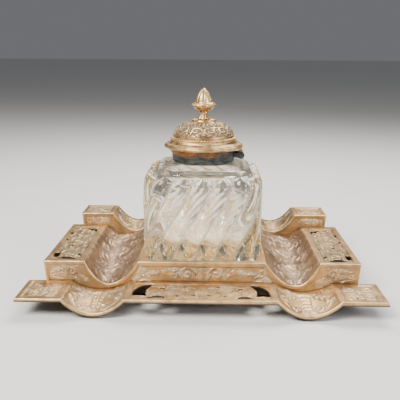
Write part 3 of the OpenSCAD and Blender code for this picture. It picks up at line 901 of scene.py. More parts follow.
def rear_fret_cuts():
    """A few slits between the rear fret's scrolls."""
    slits = Relief()
    slits.stroke(path(20, 5.4, 0.1, 9, -0.2), 0.9, 1)
    slits.stroke(path(22, -5.6, -0.1, 8, 0.2), 0.9, 1)
    slits.stroke(path(7, 3.4, 0.6, 5, -0.9), 0.8, 1)
    return cuts([], slits.doubled())


# ---- Stand ----

FRONT_FRET, SIDE_FRET, REAR_FRET = box("front_fret"), box("right_fret"), box("rear_fret")
# Points along a trough's section when its length is measured
SECTION_STEPS = 60


def run_length(x, z):
    """Length along a section from its middle."""
    step = np.hypot(np.diff(x), np.diff(z))
    return np.concatenate([[0], np.cumsum(step)])


def flat_plate(node, x_span, y_span, top, detail, free, window, extra=()):
    """A tier's shell: its top with ornament, its even thickness, and a window for a fret.

    Edges named in free are rounded, and the grid has lines through the extra places along x.
    """
    xs = grid_lines(*x_span, (window[0][0], window[1][0], *extra))
    ys = grid_lines(*y_span, (window[0][1], window[1][1]))
    x, y = np.meshgrid(xs, ys, indexing="ij")
    z = top(x, y)
    distances = {"left": x - xs[0], "right": xs[-1] - x, "front": y - ys[0]}
    edge = np.minimum.reduce([np.full(x.shape, 9.0)] + [distances[side] for side in free])
    lift, marks = detail(x, y, edge)
    lift = lift - edge_round(edge)
    face = np.stack([x, y, z], -1)
    back = np.stack([x, y, z - thickness(x, z)], -1)
    middle_x, middle_y = (xs[1:] + xs[:-1]) / 2, (ys[1:] + ys[:-1]) / 2
    across = (middle_x > window[0][0]) & (middle_x < window[1][0])
    along = (middle_y > window[0][1]) & (middle_y < window[1][1])
    return cast_sheet(node + "_cast", face, back, marks, lift, ~(across[:, None] & along[None, :]))


def worn(art, u, v, raised, inside, height, edge):
    """Marks for ornament that lies inside a smooth frame; edge is the distance to a worn edge that
    carries a painted highlight.
    """
    beside = np.abs(art.inside(u, v))
    crest = np.clip(raised / height, 0, 1)
    ground = 0.42 * (crest < 0.03)
    # Frames brighten towards the edge: rubbed brass with a painted highlight line.
    bright = 1 - soft_step(edge, 0.3, 1.5)
    relief = np.maximum(crest, ground) * inside + (0.55 + 0.45 * bright) * (1 - inside)
    step = 4 * inside * (1 - inside)
    nook = np.maximum((1 - soft_step(beside, 0.1, 0.75)) * (1 - crest ** 2), step) * inside
    return {"relief": relief, "polish": 1 - inside, "nook": nook}


# Heights at which the ornament of a ledge's panels and fans is worn bright
PANEL_CREST, FAN_CREST = 0.55, 0.75
# How deep the grounds of the panels and fans are sunk
PANEL_SINK, FAN_SINK = 0.5, 0.25


class Ledge:
    """The ornament of a ledge: a sunk panel on each block and a fan of leaves in each scoop."""

    def __init__(self, top, y_span, half, block, mid, inset, panel_height, fan_height, fan_margin):
        self.low = np.array([block + inset[0], y_span[0] + inset[1]])
        self.high = np.array([half - inset[0], y_span[1] - inset[2]])
        half_u, half_v = (self.high - self.low) / 2
        self.panel = panel_art(half_u - 0.6, half_v - 0.6, panel_height)
        self.fan = scoop_art(y_span[1] - y_span[0], fan_height)
        self.centre = (block + mid) / 2
        self.steps = np.linspace(0, (block - mid) / 2, SECTION_STEPS)
        self.middle_y = (y_span[0] + y_span[1]) / 2
        self.length = run_length(self.steps, top(self.centre + self.steps, self.middle_y))
        self.margin = fan_margin
        self.front = y_span[0]

    def detail(self, x, y, edge):
        """Lift and marks at each place; edge is the distance to the ledge's free edges."""
        side = np.abs(x)
        middle = (self.low + self.high) / 2
        inside_panel = soft_step(frame_distance(side, y, self.low, self.high), 0, 0.5)
        u, v = side - middle[0], y - middle[1]
        panel = self.panel.raised(u, v) * inside_panel
        marks = worn(self.panel, u, v, panel, inside_panel, PANEL_CREST, edge)
        across = side - self.centre
        along = np.sign(across) * np.interp(np.abs(across), self.steps, self.length)
        bank = self.length[-1] - np.abs(along)
        inside_fan = soft_step(bank - 1.6, 0, 0.9) * (np.abs(across) < self.steps[-1])
        inside_fan = inside_fan * soft_step(y - self.front, self.margin, self.margin + 0.7)
        u, v = along * 0.92, y - self.middle_y
        fan = self.fan.raised(u, v) * inside_fan
        fan_marks = worn(self.fan, u, v, fan, inside_fan, FAN_CREST, np.minimum(edge, bank))
        for mark in marks:
            marks[mark] = np.where(np.abs(across) < self.steps[-1], fan_marks[mark], marks[mark])
        marks["polish"] = marks["polish"] * (1 - 0.2 * (bank > 0))
        return panel - PANEL_SINK * inside_panel + fan - FAN_SINK * inside_fan, marks


# Front ledge
ledge = Ledge(
    ledge_top, (Y_FRONT, Y_DECK), LEDGE_HALF, LEDGE_BLOCK, LEDGE_MID, (3.4, 3.2, 2.4), 0.55, 0.75, 1.5
)
piece = flat_plate(
    "front_ledge", (-LEDGE_HALF, LEDGE_HALF), (Y_FRONT, Y_DECK), ledge_top, ledge.detail,
    ("left", "right", "front"), FRONT_FRET
)
finished(piece, "stand", brass, "front_ledge")

# Decks, each with a long trough
TROUGH_RELIEF = 0.65
trough = trough_art(TROUGH_RELIEF)
DECK_MIDDLE_Y = (Y_DECK + Y_REAR) / 2
trough_steps = np.linspace(DECK_MID, DECK_BLOCK, 2 * SECTION_STEPS)
trough_length = run_length(trough_steps, deck_top(trough_steps, DECK_MIDDLE_Y))
lowest_x = (DECK_MID + DECK_BLOCK) / 2 + TROUGH_LEAN * (DECK_BLOCK - DECK_MID) / 2
trough_lowest = np.interp(lowest_x, trough_steps, trough_length)


def deck_detail(x, y, edge):
    """Lift and marks of a deck; its ornament follows the trough's section."""
    along = np.interp(np.abs(x), trough_steps, trough_length)
    bank = np.minimum(along, trough_length[-1] - along)
    steep = soft_step(along - trough_length[-1] * 0.86, 0, 1.5)
    inside = soft_step(bank, 1.6, 2.6) * (1 - steep)
    u, v = (along - trough_lowest) * 0.95, y - DECK_MIDDLE_Y
    raised = trough.raised(u, v) * inside
    edge = np.minimum(edge, np.abs(x - DECK_BLOCK))
    marks = worn(trough, u, v, raised, inside, TROUGH_RELIEF, edge)
    marks["nook"] = marks["nook"] * 0.7
    return raised - 0.2 * inside, marks


def mirror(piece):
    """Turns a right-hand piece into its left-hand mate."""
    piece.data.transform(Matrix.Diagonal((-1, 1, 1, 1)))
    piece.data.flip_normals()


for node in ("right_deck", "left_deck"):
    piece = flat_plate(
        node, (DECK_MID, DECK_HALF), (DECK[0][1], Y_REAR), deck_top, deck_detail,
        ("right",), SIDE_FRET, (DECK_BLOCK,)
    )
    if node == "left_deck":
        mirror(piece)
    finished(piece, "stand", trough_brass, node)
    # The block's top is bright like the frames; only the trough has dulled.
    piece.data.materials.append(brass)
    for face in piece.data.polygons:
        if abs(face.center.x) > (DECK_BLOCK - 0.1) * MM:
            face.material_index = 1

# Rear ledge
rear = Ledge(
    rear_top, (Y_REAR, Y_BACK), REAR_HALF, REAR_BLOCK, REAR_MID, (3.0, 3.0, 3.0), 0.5, 0.7, -5
)
piece = flat_plate(
    "rear_ledge", (-REAR_HALF, REAR_HALF), (REAR[0][1], REAR[1][1]), rear_top, rear.detail,
    ("left", "right"), REAR_FRET
)
finished(piece, "stand", brass, "rear_ledge")


def drafted(x, z, half, top_z):
    """Moves a wall's outer ends in as the casting's side walls lean, further in lower down."""
    inner = half - 10
    end = half - DRAFT * (top_z - z)
    past = np.clip((np.abs(x) - inner) / (half - inner), 0, 1)
    return np.where(np.abs(x) > inner, np.sign(x) * (inner + past * (end - inner)), x)


class WallArt:
    """Ornament on an upright wall, below a smooth band that follows the wall's top."""

    def __init__(self, art, band_mid, band_out, split, sink, hidden=None):
        self.art = art
        self.bands = (band_mid, band_out)
        self.split = split
        self.sink = sink
        self.hidden = hidden

    def detail(self, x, z, fall, side):
        """Lift and marks; fall is the distance below the wall's top, side that to its ends."""
        band = np.where(np.abs(x) < self.split, *self.bands)
        inside = soft_step(fall - band, 0, 0.5) * soft_step(side, 2.0, 2.5)
        raised = self.art.raised(x, z) * inside
        marks = worn(self.art, x, z, raised, inside, self.sink, np.minimum(fall, side))
        # Painted shade on the part of the wall that stands below the tier in front of it.
        if self.hidden is not None:
            marks["under"] = soft_step(self.hidden(x) - z, 0.2, 1.2)
        return raised - self.sink * inside, marks


def cross_wall(name, half, top_z, section, foot, y, facing, art):
    """An upright wall across the stand from foot(x) up to the tier's section."""
    xs = grid_lines(-half, half)
    share = np.concatenate([np.linspace(0, 0.9, 46), 1 - np.array([0.07, 0.045, 0.025, 0.01, 0])])
    x, t = np.meshgrid(xs, share, indexing="ij")
    brow = section(x, y)
    low = foot(x)
    z = low + t * (brow - low)
    slope = np.gradient(brow, axis=0) / np.gradient(x, axis=0)
    fall = (brow - z) / np.sqrt(1 + slope ** 2)
    x = drafted(x, z, half, top_z)
    side = half - DRAFT * (top_z - z) - np.abs(x)
    lift, marks = art.detail(x, z, fall, side)
    lift = np.minimum(lift - edge_round(np.minimum(fall, side), 0.7), 0)
    face = np.stack([x, np.full(x.shape, y), z], -1)
    back = face + np.array([0, -facing * WALL, 0])
    return cast_sheet(name, face, back, marks, lift)


def even_foot(x):
    """The level foot of a wall."""
    return np.full(x.shape, SKIRT_Z)


def arched_foot(x):
    """The rear wall stands on two legs, with an opening between them."""
    legs = REAR_HALF - 7
    return SKIRT_Z + 10 * soft_step(legs - np.abs(x), 0, 1.2)


def below_ledge(x):
    """Height of the front ledge's top where it meets the front wall."""
    return ledge_top(x, Y_DECK)


def below_deck(x):
    """Height of the deck's top where it meets the rear wall."""
    return deck_top(x, Y_REAR)


FRONT_RELIEF, REAR_RELIEF = 0.75, 0.6
front_art = WallArt(front_wall_art(FRONT_RELIEF), 2.9, 2.1, DECK_MID - 2, FRONT_RELIEF, below_ledge)
rear_art = WallArt(rear_wall_art(REAR_RELIEF), 1.9, 1.9, REAR_MID, REAR_RELIEF, below_deck)
back_art = WallArt(back_wall_art(REAR_RELIEF), 2.1, 2.1, REAR_MID, REAR_RELIEF)
for node, half, top_z, section, foot, y, facing, art in (
    ("front_wall", DECK_HALF, DECK_Z, deck_top, even_foot, Y_DECK, -1, front_art),
    ("rear_wall", REAR_HALF, REAR_Z, rear_top, arched_foot, Y_REAR, -1, rear_art),
    ("back_wall", REAR_HALF, REAR_Z, rear_top, even_foot, Y_BACK, 1, back_art),
):
    piece = cross_wall(node + "_cast", half, top_z, section, foot, y, facing, art)
    finished(piece, "stand", brass, node)


def long_wall(name, node, half, top_z, art, mirrored=False):
    """A leaning side wall, drawn at the right of the stand."""
    low, high = box(node)
    brow = top_z - WALL
    ys = grid_lines(low[1], high[1])
    share = np.concatenate([[0, 0.012, 0.03], np.linspace(0.06, 0.97, 34), [1]])
    y, t = np.meshgrid(ys, share, indexing="ij")
    z = SKIRT_Z + t * (brow - SKIRT_Z)
    x = half - DRAFT * (top_z - z)
    u, v = y - (low[1] + high[1]) / 2, z - (SKIRT_Z + brow) / 2
    ends = np.minimum(y - low[1], high[1] - y)
    edge = np.minimum(ends - 2.6, np.minimum(z - SKIRT_Z - 2.0, brow - z - 0.4))
    inside = soft_step(edge, 0, 0.5)
    raised = art.raised(u, v) * inside
    marks = worn(art, u, v, raised, inside, REAR_RELIEF, z - SKIRT_Z)
    face = np.stack([x, y, z], -1)
    lift = raised - REAR_RELIEF * inside - edge_round(z - SKIRT_Z, 0.6)
    piece = cast_sheet(name, face, face - np.array([WALL, 0, 0]), marks, lift)
    if mirrored:
        mirror(piece)
    finished(piece, "stand", brass, node)


side_art = bar_art(37, 7.4, REAR_RELIEF)
rear_side_art = panel_art(7.6, 11.5, REAR_RELIEF)
long_wall("right_side_cast", "right_side_wall", DECK_HALF, DECK_Z, side_art)
long_wall("left_side_cast", "left_side_wall", DECK_HALF, DECK_Z, side_art, mirrored=True)
long_wall("rear_right_side_cast", "rear_right_wall", REAR_HALF, REAR_Z, rear_side_art)
long_wall("rear_left_side_cast", "rear_left_wall", REAR_HALF, REAR_Z, rear_side_art, mirrored=True)


def fret_piece(node, place, art, inside, height, material, mirrored=False, step=0.3):
    """A pierced scroll plate between its window's edges."""
    low, high = place
    middle_x, middle_y = (low[0] + high[0]) / 2, (low[1] + high[1]) / 2
    half_x, half_y = (high[0] - low[0]) / 2, (high[1] - low[1]) / 2
    u, v = np.meshgrid(
        np.linspace(-half_x, half_x, int(2 * half_x / step)),
        np.linspace(-half_y, half_y, int(2 * half_y / step)), indexing="ij"
    )
    u, v, keep = snapped(u, v, inside)
    framed = soft_step(np.minimum(half_x - np.abs(u), half_y - np.abs(v)), 0.3, 1.0)
    raised = art.raised(u, v) * framed
    to_hole = -inside(u, v)
    marks = worn(art, u, v, raised, framed, height, to_hole)
    marks["nook"] = marks["nook"] * soft_step(to_hole, 0.2, 0.8)
    # Rims of the holes made bright: wear with a painted highlight.
    marks["relief"] = np.maximum(marks["relief"], 0.8 * (1 - soft_step(to_hole, 0.2, 0.9)))
    marks["polish"] = marks["polish"] * 0.8
    # Painted shade: the walls of the holes are made near black.
    marks["under"] = 0.9 * (to_hole < 0.05)
    lift = raised - height * framed - 0.2 * (1 - soft_step(to_hole, 0, 0.5))
    face = np.stack([u + middle_x, v + middle_y, np.full(u.shape, high[2])], -1)
    back = face - np.array([0, 0, high[2] - low[2]])
    piece = cast_sheet(node + "_cast", face, back, marks, lift, keep)
    if mirrored:
        mirror(piece)
    finished(piece, "stand", material, node)


FRET_RELIEF = 0.7
fret_piece("front_fret", FRONT_FRET, front_fret_art(0.6), front_fret_cuts(), 0.6, brass)
fret_art, fret_cuts = side_fret_art(FRET_RELIEF), side_fret_cuts()
fret_piece("right_fret", SIDE_FRET, fret_art, fret_cuts, FRET_RELIEF, fret_brass)
fret_piece("left_fret", SIDE_FRET, fret_art, fret_cuts, FRET_RELIEF, fret_brass, mirrored=True)
fret_art, fret_cuts = bar_art(29, 7.0, FRET_RELIEF), rear_fret_cuts()
fret_piece("rear_fret", REAR_FRET, fret_art, fret_cuts, FRET_RELIEF, fret_brass, step=0.5)


# ---- Bottle ----

def squircle_ring(half, power, angle):
    """Points of a superellipse with this half width, from round (2) to square."""
    c, s = np.cos(angle), np.sin(angle)
    r = half / (np.abs(c) ** power + np.abs(s) ** power) ** (1 / power)
    return np.stack([r * c, r * s], -1)


def ring_surface(name, rings, angle, shape, marks):
    """A closed surface through rings of [height, half width, power], from one middle to another."""
    outlines = np.stack([squircle_ring(half, power, angle) for _, half, power in rings])
    heights = np.array([ring[0] for ring in rings], float)
    count, sides = outlines.shape[:2]
    outlines, heights = shape(outlines, heights)
    points = np.concatenate([outlines, heights[..., None]], -1) + (0, AXIS_Y, 0)
    ends = np.array([[0, AXIS_Y, heights[0].mean()], [0, AXIS_Y, heights[-1].mean()]])
    index = np.arange(count * sides).reshape(count, sides)
    quads = bands(index)
    first, last = count * sides, count * sides + 1
    quads += [[first, b, a] for a, b in zip(index[0], np.roll(index[0], -1))]
    quads += [[last, a, b] for a, b in zip(index[-1], np.roll(index[-1], -1))]
    spread = {m: np.append(v.ravel(), [v[0, 0], v[-1, 0]]) for m, v in marks.items()}
    return mesh_piece(name, np.concatenate([points.reshape(-1, 3), ends]), quads, spread)


BASE_Z = BOTTLE[0][2]
HALF_W = BOTTLE[1][0]
NECK_TOP_Z = BOTTLE[1][2]
SHOULDER_Z = NECK_TOP_Z - 8.8
NECK_R, BORE_R = 17, 12.5
WALL_GLASS, INNER_Z = 8, BASE_Z + 9
# Rings of the hollow under the bottle, which come before its base edge
HOLLOW = 6
FLUTES, FLUTE_DEPTH = 22, 2.6
# How far the flutes move round the bottle from base to shoulder, and the whole way round it
FLUTE_SHIFT, OUTLINE = 28.0, 8 * HALF_W


def shoulder_rings(half, top_z, run, rise, power, turns):
    """Rings of a quarter round from the side up to the top, ever less square."""
    return [
        [top_z - rise * (1 - math.sin(a)), half - run * (1 - math.cos(a)), power - math.degrees(a) / 25]
        for a in turns
    ]


quarter = np.linspace(0, math.radians(84), 17)
outer = [[BASE_Z + 0.9, 1, 2], [BASE_Z + 0.9, 16, 2.5], [BASE_Z + 0.8, 26, 4]]
outer += [
    [BASE_Z + up, HALF_W - inset, power]
    for up, inset, power in (
        (0.45, 7, 6), (0.05, 4.6, 7), (0, 3.6, 7), (0, 2.4, 7), (0.25, 1.5, 7), (0.7, 0.9, 7),
        (1.4, 0.5, 7), (2.4, 0.3, 7)
    )
]
side_z = np.linspace(BASE_Z + 4, SHOULDER_Z - 11, 34)
outer += [[z, HALF_W - 0.3 + 0.28 * min(1, (z - BASE_Z) / 24), 7] for z in side_z]
outer += shoulder_rings(HALF_W - 0.1, SHOULDER_Z - 1.2, 11, 9.6, 7, quarter)
neck = [
    [SHOULDER_Z - 1.0, HALF_W - 11.6, 3.3], [SHOULDER_Z - 0.9, HALF_W - 14, 2.9],
    [SHOULDER_Z - 0.6, NECK_R + 5, 2.5], [SHOULDER_Z - 0.3, NECK_R + 2, 2.2],
    [SHOULDER_Z + 0.1, NECK_R + 0.6, 2], [SHOULDER_Z + 0.6, NECK_R + 0.15, 2],
    [SHOULDER_Z + 1.2, NECK_R, 2], [NECK_TOP_Z - 0.4, NECK_R, 2], [NECK_TOP_Z - 0.1, NECK_R - 0.15, 2],
    [NECK_TOP_Z, NECK_R - 0.5, 2], [NECK_TOP_Z, BORE_R + 0.5, 2], [NECK_TOP_Z - 0.1, BORE_R + 0.15, 2],
    [NECK_TOP_Z - 0.4, BORE_R, 2], [SHOULDER_Z - 1, BORE_R, 2], [SHOULDER_Z - 3.2, BORE_R + 0.4, 2.2]
]
inner = shoulder_rings(HALF_W - WALL_GLASS, SHOULDER_Z - 5, 12, 12, 5.5, quarter[::-2])
inner += [[z, HALF_W - WALL_GLASS, 5] for z in np.linspace(SHOULDER_Z - 20, INNER_Z + 8, 12)]
inner += [
    [INNER_Z + 8 - 8 * math.sin(a), HALF_W - WALL_GLASS - 9 * (1 - math.cos(a)), 4.8 - a]
    for a in np.linspace(0.2, math.pi / 2, 9)
]
inner += [[INNER_Z - 0.05, HALF_W - WALL_GLASS - 14, 3], [INNER_Z, 9, 2], [INNER_Z, 3, 2]]
bottle_rings = outer + neck + inner
GLASS_SIDES = 20 * FLUTES
glass_angle = (np.arange(GLASS_SIDES) + 0.5) * TAU / GLASS_SIDES


def flute(outlines, heights):
    """Presses leaning flutes with sharp valleys into the outside, rounded off at the shoulder."""
    count = len(outer)
    moved = outlines.copy()
    lifted = np.repeat(heights[:, None], outlines.shape[1], 1)
    profile = np.array([[ring[1], ring[0]] for ring in outer + neck[:1]])
    travel = np.concatenate([[0], np.cumsum(np.hypot(*np.diff(profile, axis=0).T))])
    travel -= travel[HOLLOW]
    nose_end = np.interp(SHOULDER_Z - 4.2, heights[HOLLOW : count + 1], travel[HOLLOW:])
    nose_start = nose_end - 6.5
    for k in range(count):
        outline = outlines[k]
        gaps = np.linalg.norm(np.roll(outline, -1, axis=0) - outline, axis=1)
        walked = np.concatenate([[0], np.cumsum(gaps)[:-1]])
        share = walked / gaps.sum()
        rise = np.clip((heights[k] - BASE_Z) / (SHOULDER_Z - 4 - BASE_Z), 0, 1)
        shift = FLUTE_SHIFT * (0.12 * rise + 0.88 * (rise * rise * (3 - 2 * rise)) ** 0.9)
        phase = (share - shift / OUTLINE) * FLUTES % 1
        bow = np.abs(2 * phase - 1)
        past = np.clip((travel[k] - nose_start) / (nose_end - nose_start), 0, 1)
        wide = math.sqrt(max(0, 1 - past ** 2.8))
        lobe = np.clip(1 - (bow / max(wide, 1e-3)) ** 2, 0, 1) if wide > 0.02 else bow * 0
        depth = FLUTE_DEPTH * float(soft_step(travel[k], 0.5, 5))
        tangent = np.roll(outline, -1, axis=0) - np.roll(outline, 1, axis=0)
        outward = np.stack([tangent[:, 1], -tangent[:, 0]], 1)
        outward /= np.linalg.norm(outward, axis=1, keepdims=True)
        slope = profile[k + 1] - profile[max(k - 1, 0)]
        slope /= np.linalg.norm(slope)
        push = -depth * (1 - lobe) * (1 - soft_step(travel[k], nose_end + 2, nose_end + 7))
        # Valley lines marked for painted shade in the glass finish.
        valley = np.clip((bow - 0.78) / 0.2, 0, 1) ** 1.3
        valley_shade_mark[k] = valley * (past < 1) * np.interp(travel[k], [2, 9], [0, 1])
        moved[k] += outward * (push * slope[1])[:, None]
        lifted[k] -= push * slope[0]
    return moved, lifted


haze = np.zeros((len(bottle_rings), len(glass_angle)))
valley_shade_mark = np.zeros(haze.shape)
# Dried haze inside the bottle, thickest at the bottom
HAZE_HEIGHTS = [INNER_Z, INNER_Z + 14, INNER_Z + 30, SHOULDER_Z]
HAZE_SHARES = [0.6, 0.42, 0.24, 0.06]
for k in range(len(outer) + len(neck), len(bottle_rings)):
    haze[k] = np.interp(bottle_rings[k][0], HAZE_HEIGHTS, HAZE_SHARES)
glass_marks = {"haze": haze, "valley_shade": valley_shade_mark}
piece = ring_surface("glass_bottle", bottle_rings, glass_angle, flute, glass_marks)
finished(piece, "ink_bottle", glass, "bottle")

# Seat: the middle of the deck, with the shallow well that the bottle stands in
SEAT_SIDES = 240
WELL_HALF = HALF_W + 1.0
seat_half = np.array([SEAT[1][0], (SEAT[1][1] - SEAT[0][1]) / 2])
# Rings of the outside: height, and share of the seat's rectangle
block_rings = ((SEAT[0][2], 0.3), (SEAT[0][2], 1.0), (SEAT[1][2] - 0.01, 1.0), (SEAT[1][2], 0.999))
# Rings of the well: height, distance out from its edge, and power of the outline
well_rings = (
    (DECK_Z, 0, 7.6), (DECK_Z - 0.3, -0.35, 7.6), (DECK_Z - 0.8, -0.5, 7.6), (BASE_Z + 0.5, -0.5, 7.6),
    (BASE_Z + 0.1, -0.8, 7.6), (BASE_Z, -1.3, 7.6), (BASE_Z, -9, 5), (BASE_Z, -30, 2)
)
seat_angle = (np.arange(SEAT_SIDES) + 0.5) * TAU / SEAT_SIDES
seat_rings = [(z, squircle_ring(1.0, 60, seat_angle) * seat_half * share) for z, share in block_rings]
seat_rings += [(z, squircle_ring(WELL_HALF + out, power, seat_angle)) for z, out, power in well_rings]
seat_points = np.array([
    np.concatenate([ring, np.full((SEAT_SIDES, 1), z)], 1) + (0, AXIS_Y, 0)
    for z, ring in seat_rings
])
count = len(seat_points)
index = np.arange(count * SEAT_SIDES).reshape(count, SEAT_SIDES)
quads = bands(index) + [index[0][::-1].tolist(), index[-1].tolist()]
flat = seat_points.reshape(-1, 3)
marks = {"relief": np.full(len(flat), 0.55), "polish": np.full(len(flat), 0.6)}
piece = mesh_piece("bottle_seat_cast", flat, quads, marks)
finished(piece, "stand", brass, "bottle_seat")


# ---- Collar and lid ----

def eased(points, step=0.3):
    """The same profile in short steps, with its corners a little rounded."""
    points = np.array(points, float)
    line = [points[0]]
    for a, b in zip(points, points[1:]):
        parts = max(1, int(np.ceil(np.linalg.norm(b - a) / step)))
        line += [a + (b - a) * k / parts for k in range(1, parts + 1)]
    line = np.array(line)
    line[1:-1] = line[:-2] * 0.25 + line[1:-1] * 0.5 + line[2:] * 0.25
    return line


CEMENT_R, FOOT_R, COLLAR_R = 18.4, 19.8, COLLAR[1][0]
foot_z, top_z = COLLAR[0][2], COLLAR[1][2]
brow_z = top_z - 3
curve = [
    (FOOT_R + 1.4 * math.sin(a), brow_z - (brow_z - foot_z) * math.cos(a))
    for a in np.linspace(0.2, 1.35, 8)
]
profile = eased(
    [(CEMENT_R, foot_z + 0.6), (FOOT_R - 0.6, foot_z), (FOOT_R, foot_z + 0.2), *curve,
     (COLLAR_R - 0.6, brow_z), (COLLAR_R, brow_z + 0.4), (COLLAR_R, top_z - 0.1),
     (COLLAR_R - 0.2, top_z), (BORE_R + 1, top_z), (BORE_R + 1, top_z - 0.4), (CEMENT_R, top_z - 0.4)]
)


def dented(angle, radius, height):
    """Slight dents and hand-finished waviness, always inwards."""
    wave = np.sin(angle * 3 + 0.7) * 0.4 + np.sin(angle * 7 + height) * 0.35 + np.sin(angle * 17) * 0.25
    return -0.12 * (1 + wave) * (radius > FOOT_R - 0.2)


piece = turned("collar_ring", profile, 160, dented)
finished(piece, "ink_bottle", verdigris, "neck_collar")

RIM_R, LID_Z = RIM[1][0], RIM[0][2]
RIM_H, RIM_BORE, DOME_R = RIM[1][2] - LID_Z, 19.5, 20.5
profile = [(RIM_BORE, LID_Z), (RIM_R - 0.9, LID_Z)]
profile += [
    (RIM_R - 1.2 + 1.2 * math.cos(a), LID_Z + 1.25 + 1.2 * math.sin(a))
    for a in np.radians(np.linspace(-70, 70, 9))
]
profile += [
    (RIM_R - 1.2 - 3.2 * math.sin(a), LID_Z + 5.4 - 2.4 * math.cos(a))
    for a in np.radians(np.linspace(0, 84, 8))
]
bead_low = len(eased(profile, 0.25))
profile += [
    (RIM_R - 5.1 + 0.9 * math.cos(a), LID_Z + 6.4 + 0.9 * math.sin(a))
    for a in np.radians(np.linspace(-60, 90, 8))
]
bead_high = len(eased(profile, 0.25))
profile += [(DOME_R - 0.2, LID_Z + RIM_H - 0.1), (RIM_BORE, LID_Z + RIM_H - 0.1)]
profile = eased(profile, 0.25)
BEADS, RIM_SIDES = 72, 540
rows = np.arange(len(profile))[:, None]
on_bead = (rows >= bead_low) & (rows <= bead_high)
angle = np.arange(RIM_SIDES) * TAU / RIM_SIDES
# The small moulding above the rim is chased like a slanting rope.
twist = np.sin(BEADS * angle + (rows - bead_low) * 0.35)
rope = np.where(on_bead, -0.28 * (0.5 - 0.5 * twist) ** 0.7, 0)
marks = {"relief": 0.8 - on_bead * 0.6 * (0.5 - 0.5 * twist), "polish": 1.0 - on_bead}
piece = turned("rim_ring", profile, RIM_SIDES, lambda *_: rope, marks)
finished(piece, "lid", lid_brass, "lid_rim")

DOME_Z, DOME_H = DOME[0][2], DOME[1][2] - DOME[0][2]
DOME_WALL, ROD_R = 1.3, 1.3


def dome_at(h):
    """Radius of the dome at a share of its height."""
    return 3 + (DOME_R - 3) * (1 - h ** 1.9) ** (1 / 1.7)


shares = 1 - np.linspace(1, 0, 30) ** 1.6
outside = [(dome_at(h), DOME_Z + DOME_H * h) for h in shares]
inside = [
    (max(dome_at(h) - DOME_WALL, ROD_R), DOME_Z + (DOME_H - DOME_WALL) * h)
    for h in shares[::-2]
]
outside_line = eased(outside, 0.22)
profile = np.concatenate([outside_line, eased([(ROD_R, DOME_Z + DOME_H), *inside], 0.6)])
DOME_SIDES = 560
dome_rows = len(outside_line)
dome_travel = run_length(*outside_line.T)
# The ornament repeats round the dome, and is drawn narrower than the sector that it fills
SECTORS, WIDENED = 6, 0.75
DOME_RELIEF = 0.75


def dome_art():
    """One sector of the dome: a pair of scrolls about a leaf, with husks above."""
    half = Relief()
    half.scroll(3.7, 6.3, 3.5, 4.4, -1.5, 0.62, 0.75, 0)
    half.stroke(path(6.9, 1.8, math.pi / 2 + 0.15, 9.5, 0.7), 0.75, 0.75)
    half.stroke(path(7.4, 4.2, math.pi / 2 + 0.1, 5.0, 0.5), 0.5, 0.6)
    half.leaf(0.0, 2.2, math.pi / 2, 6.0, 0.0, 1.6, 0.8, 4)
    half.stroke(path(0.9, 2.0, 0.2, 6.0, 0.55), 0.55, 0.7)
    half.leaf(4.6, 10.4, math.pi / 2 + 0.35, 5.0, 0.35, 1.2, 0.7, 3)
    half.stroke(path(2.2, 10.3, math.pi / 2 + 0.1, 6.5, 0.2), 0.6, 0.65)
    half.stroke(path(0.1, 8.6, math.pi / 2, 8.5, 0.0), 0.75, 0.7)
    half.bead(7.1, 12.2, 0.6, 0.6)
    return half.doubled()


angle = np.arange(DOME_SIDES) * TAU / DOME_SIDES
sector = TAU / SECTORS
across = (angle % sector) - sector / 2
u = across[None, :] * outside_line[:, :1] * WIDENED
v = np.repeat(dome_travel[:, None], DOME_SIDES, 1)
sector_art = dome_art()
total = dome_travel[-1]
ground = soft_step(v, 1.2, 1.8) * (1 - soft_step(v, total - 5.2, total - 4.6))
dome_raised = sector_art.raised(u, v) * ground
petal_ring = soft_step(v, total - 4.6, total - 4)
petals = (np.abs(np.sin(8 * angle))[None, :] ** 0.6) * petal_ring
dome_lift = np.zeros((len(profile), DOME_SIDES))
dome_lift[:dome_rows] = dome_raised - DOME_RELIEF * ground - 0.45 * (1 - petals) * petal_ring
dome_relief = np.full(dome_lift.shape, 0.5)
dome_relief[:dome_rows] = np.clip(dome_raised / DOME_RELIEF, 0, 1) * ground + 0.75 * (1 - ground)
dome_polish = np.zeros(dome_lift.shape)
dome_polish[:dome_rows] = (1 - ground) * 0.6
dome_nook = np.zeros(dome_lift.shape)
dome_nook[:dome_rows] = (1 - soft_step(np.abs(sector_art.inside(u, v)), 0.1, 0.6)) * ground
dome_marks = {"relief": dome_relief, "polish": dome_polish, "nook": dome_nook}
piece = turned("dome_shell", profile, DOME_SIDES, lambda *_: dome_lift, dome_marks)
finished(piece, "lid", lid_brass, "lid_dome")

# Finial
BOSS, CUP, BUD = box("finial_boss"), box("finial_cup"), box("finial_bud")
z = BOSS[0][2]
profile = eased([
    (ROD_R, z), (4.6, z), (4.5, z + 0.5), (4.1, z + 1.1), (3.4, z + 2), (2.8, z + 2.7), (2.4, z + 3.1),
    (2.5, z + 3.4), (2.8, z + 3.7), (2.8, z + 4.2), (2.5, z + 4.6), (2.4, BOSS[1][2]), (ROD_R, BOSS[1][2])
], 0.14)


LOBES = 4


def leafy(angle, radius, height):
    """Leaves round the foot of the boss."""
    low = 1 - soft_step(height, z + 2.2, z + 3.0)
    return -0.4 * low * (1 - np.abs(np.cos(angle * LOBES + 0.4)) ** 0.6) * (radius > ROD_R + 0.3)


BOSS_SIDES = 192
angle = np.arange(BOSS_SIDES) * TAU / BOSS_SIDES
relief = 0.35 + 0.5 * np.abs(np.cos(angle * LOBES + 0.4))[None, :] * np.ones((len(profile), 1))
piece = turned("boss_turning", profile, BOSS_SIDES, leafy, {"relief": relief})
finished(piece, "lid", lid_brass, "finial_boss")

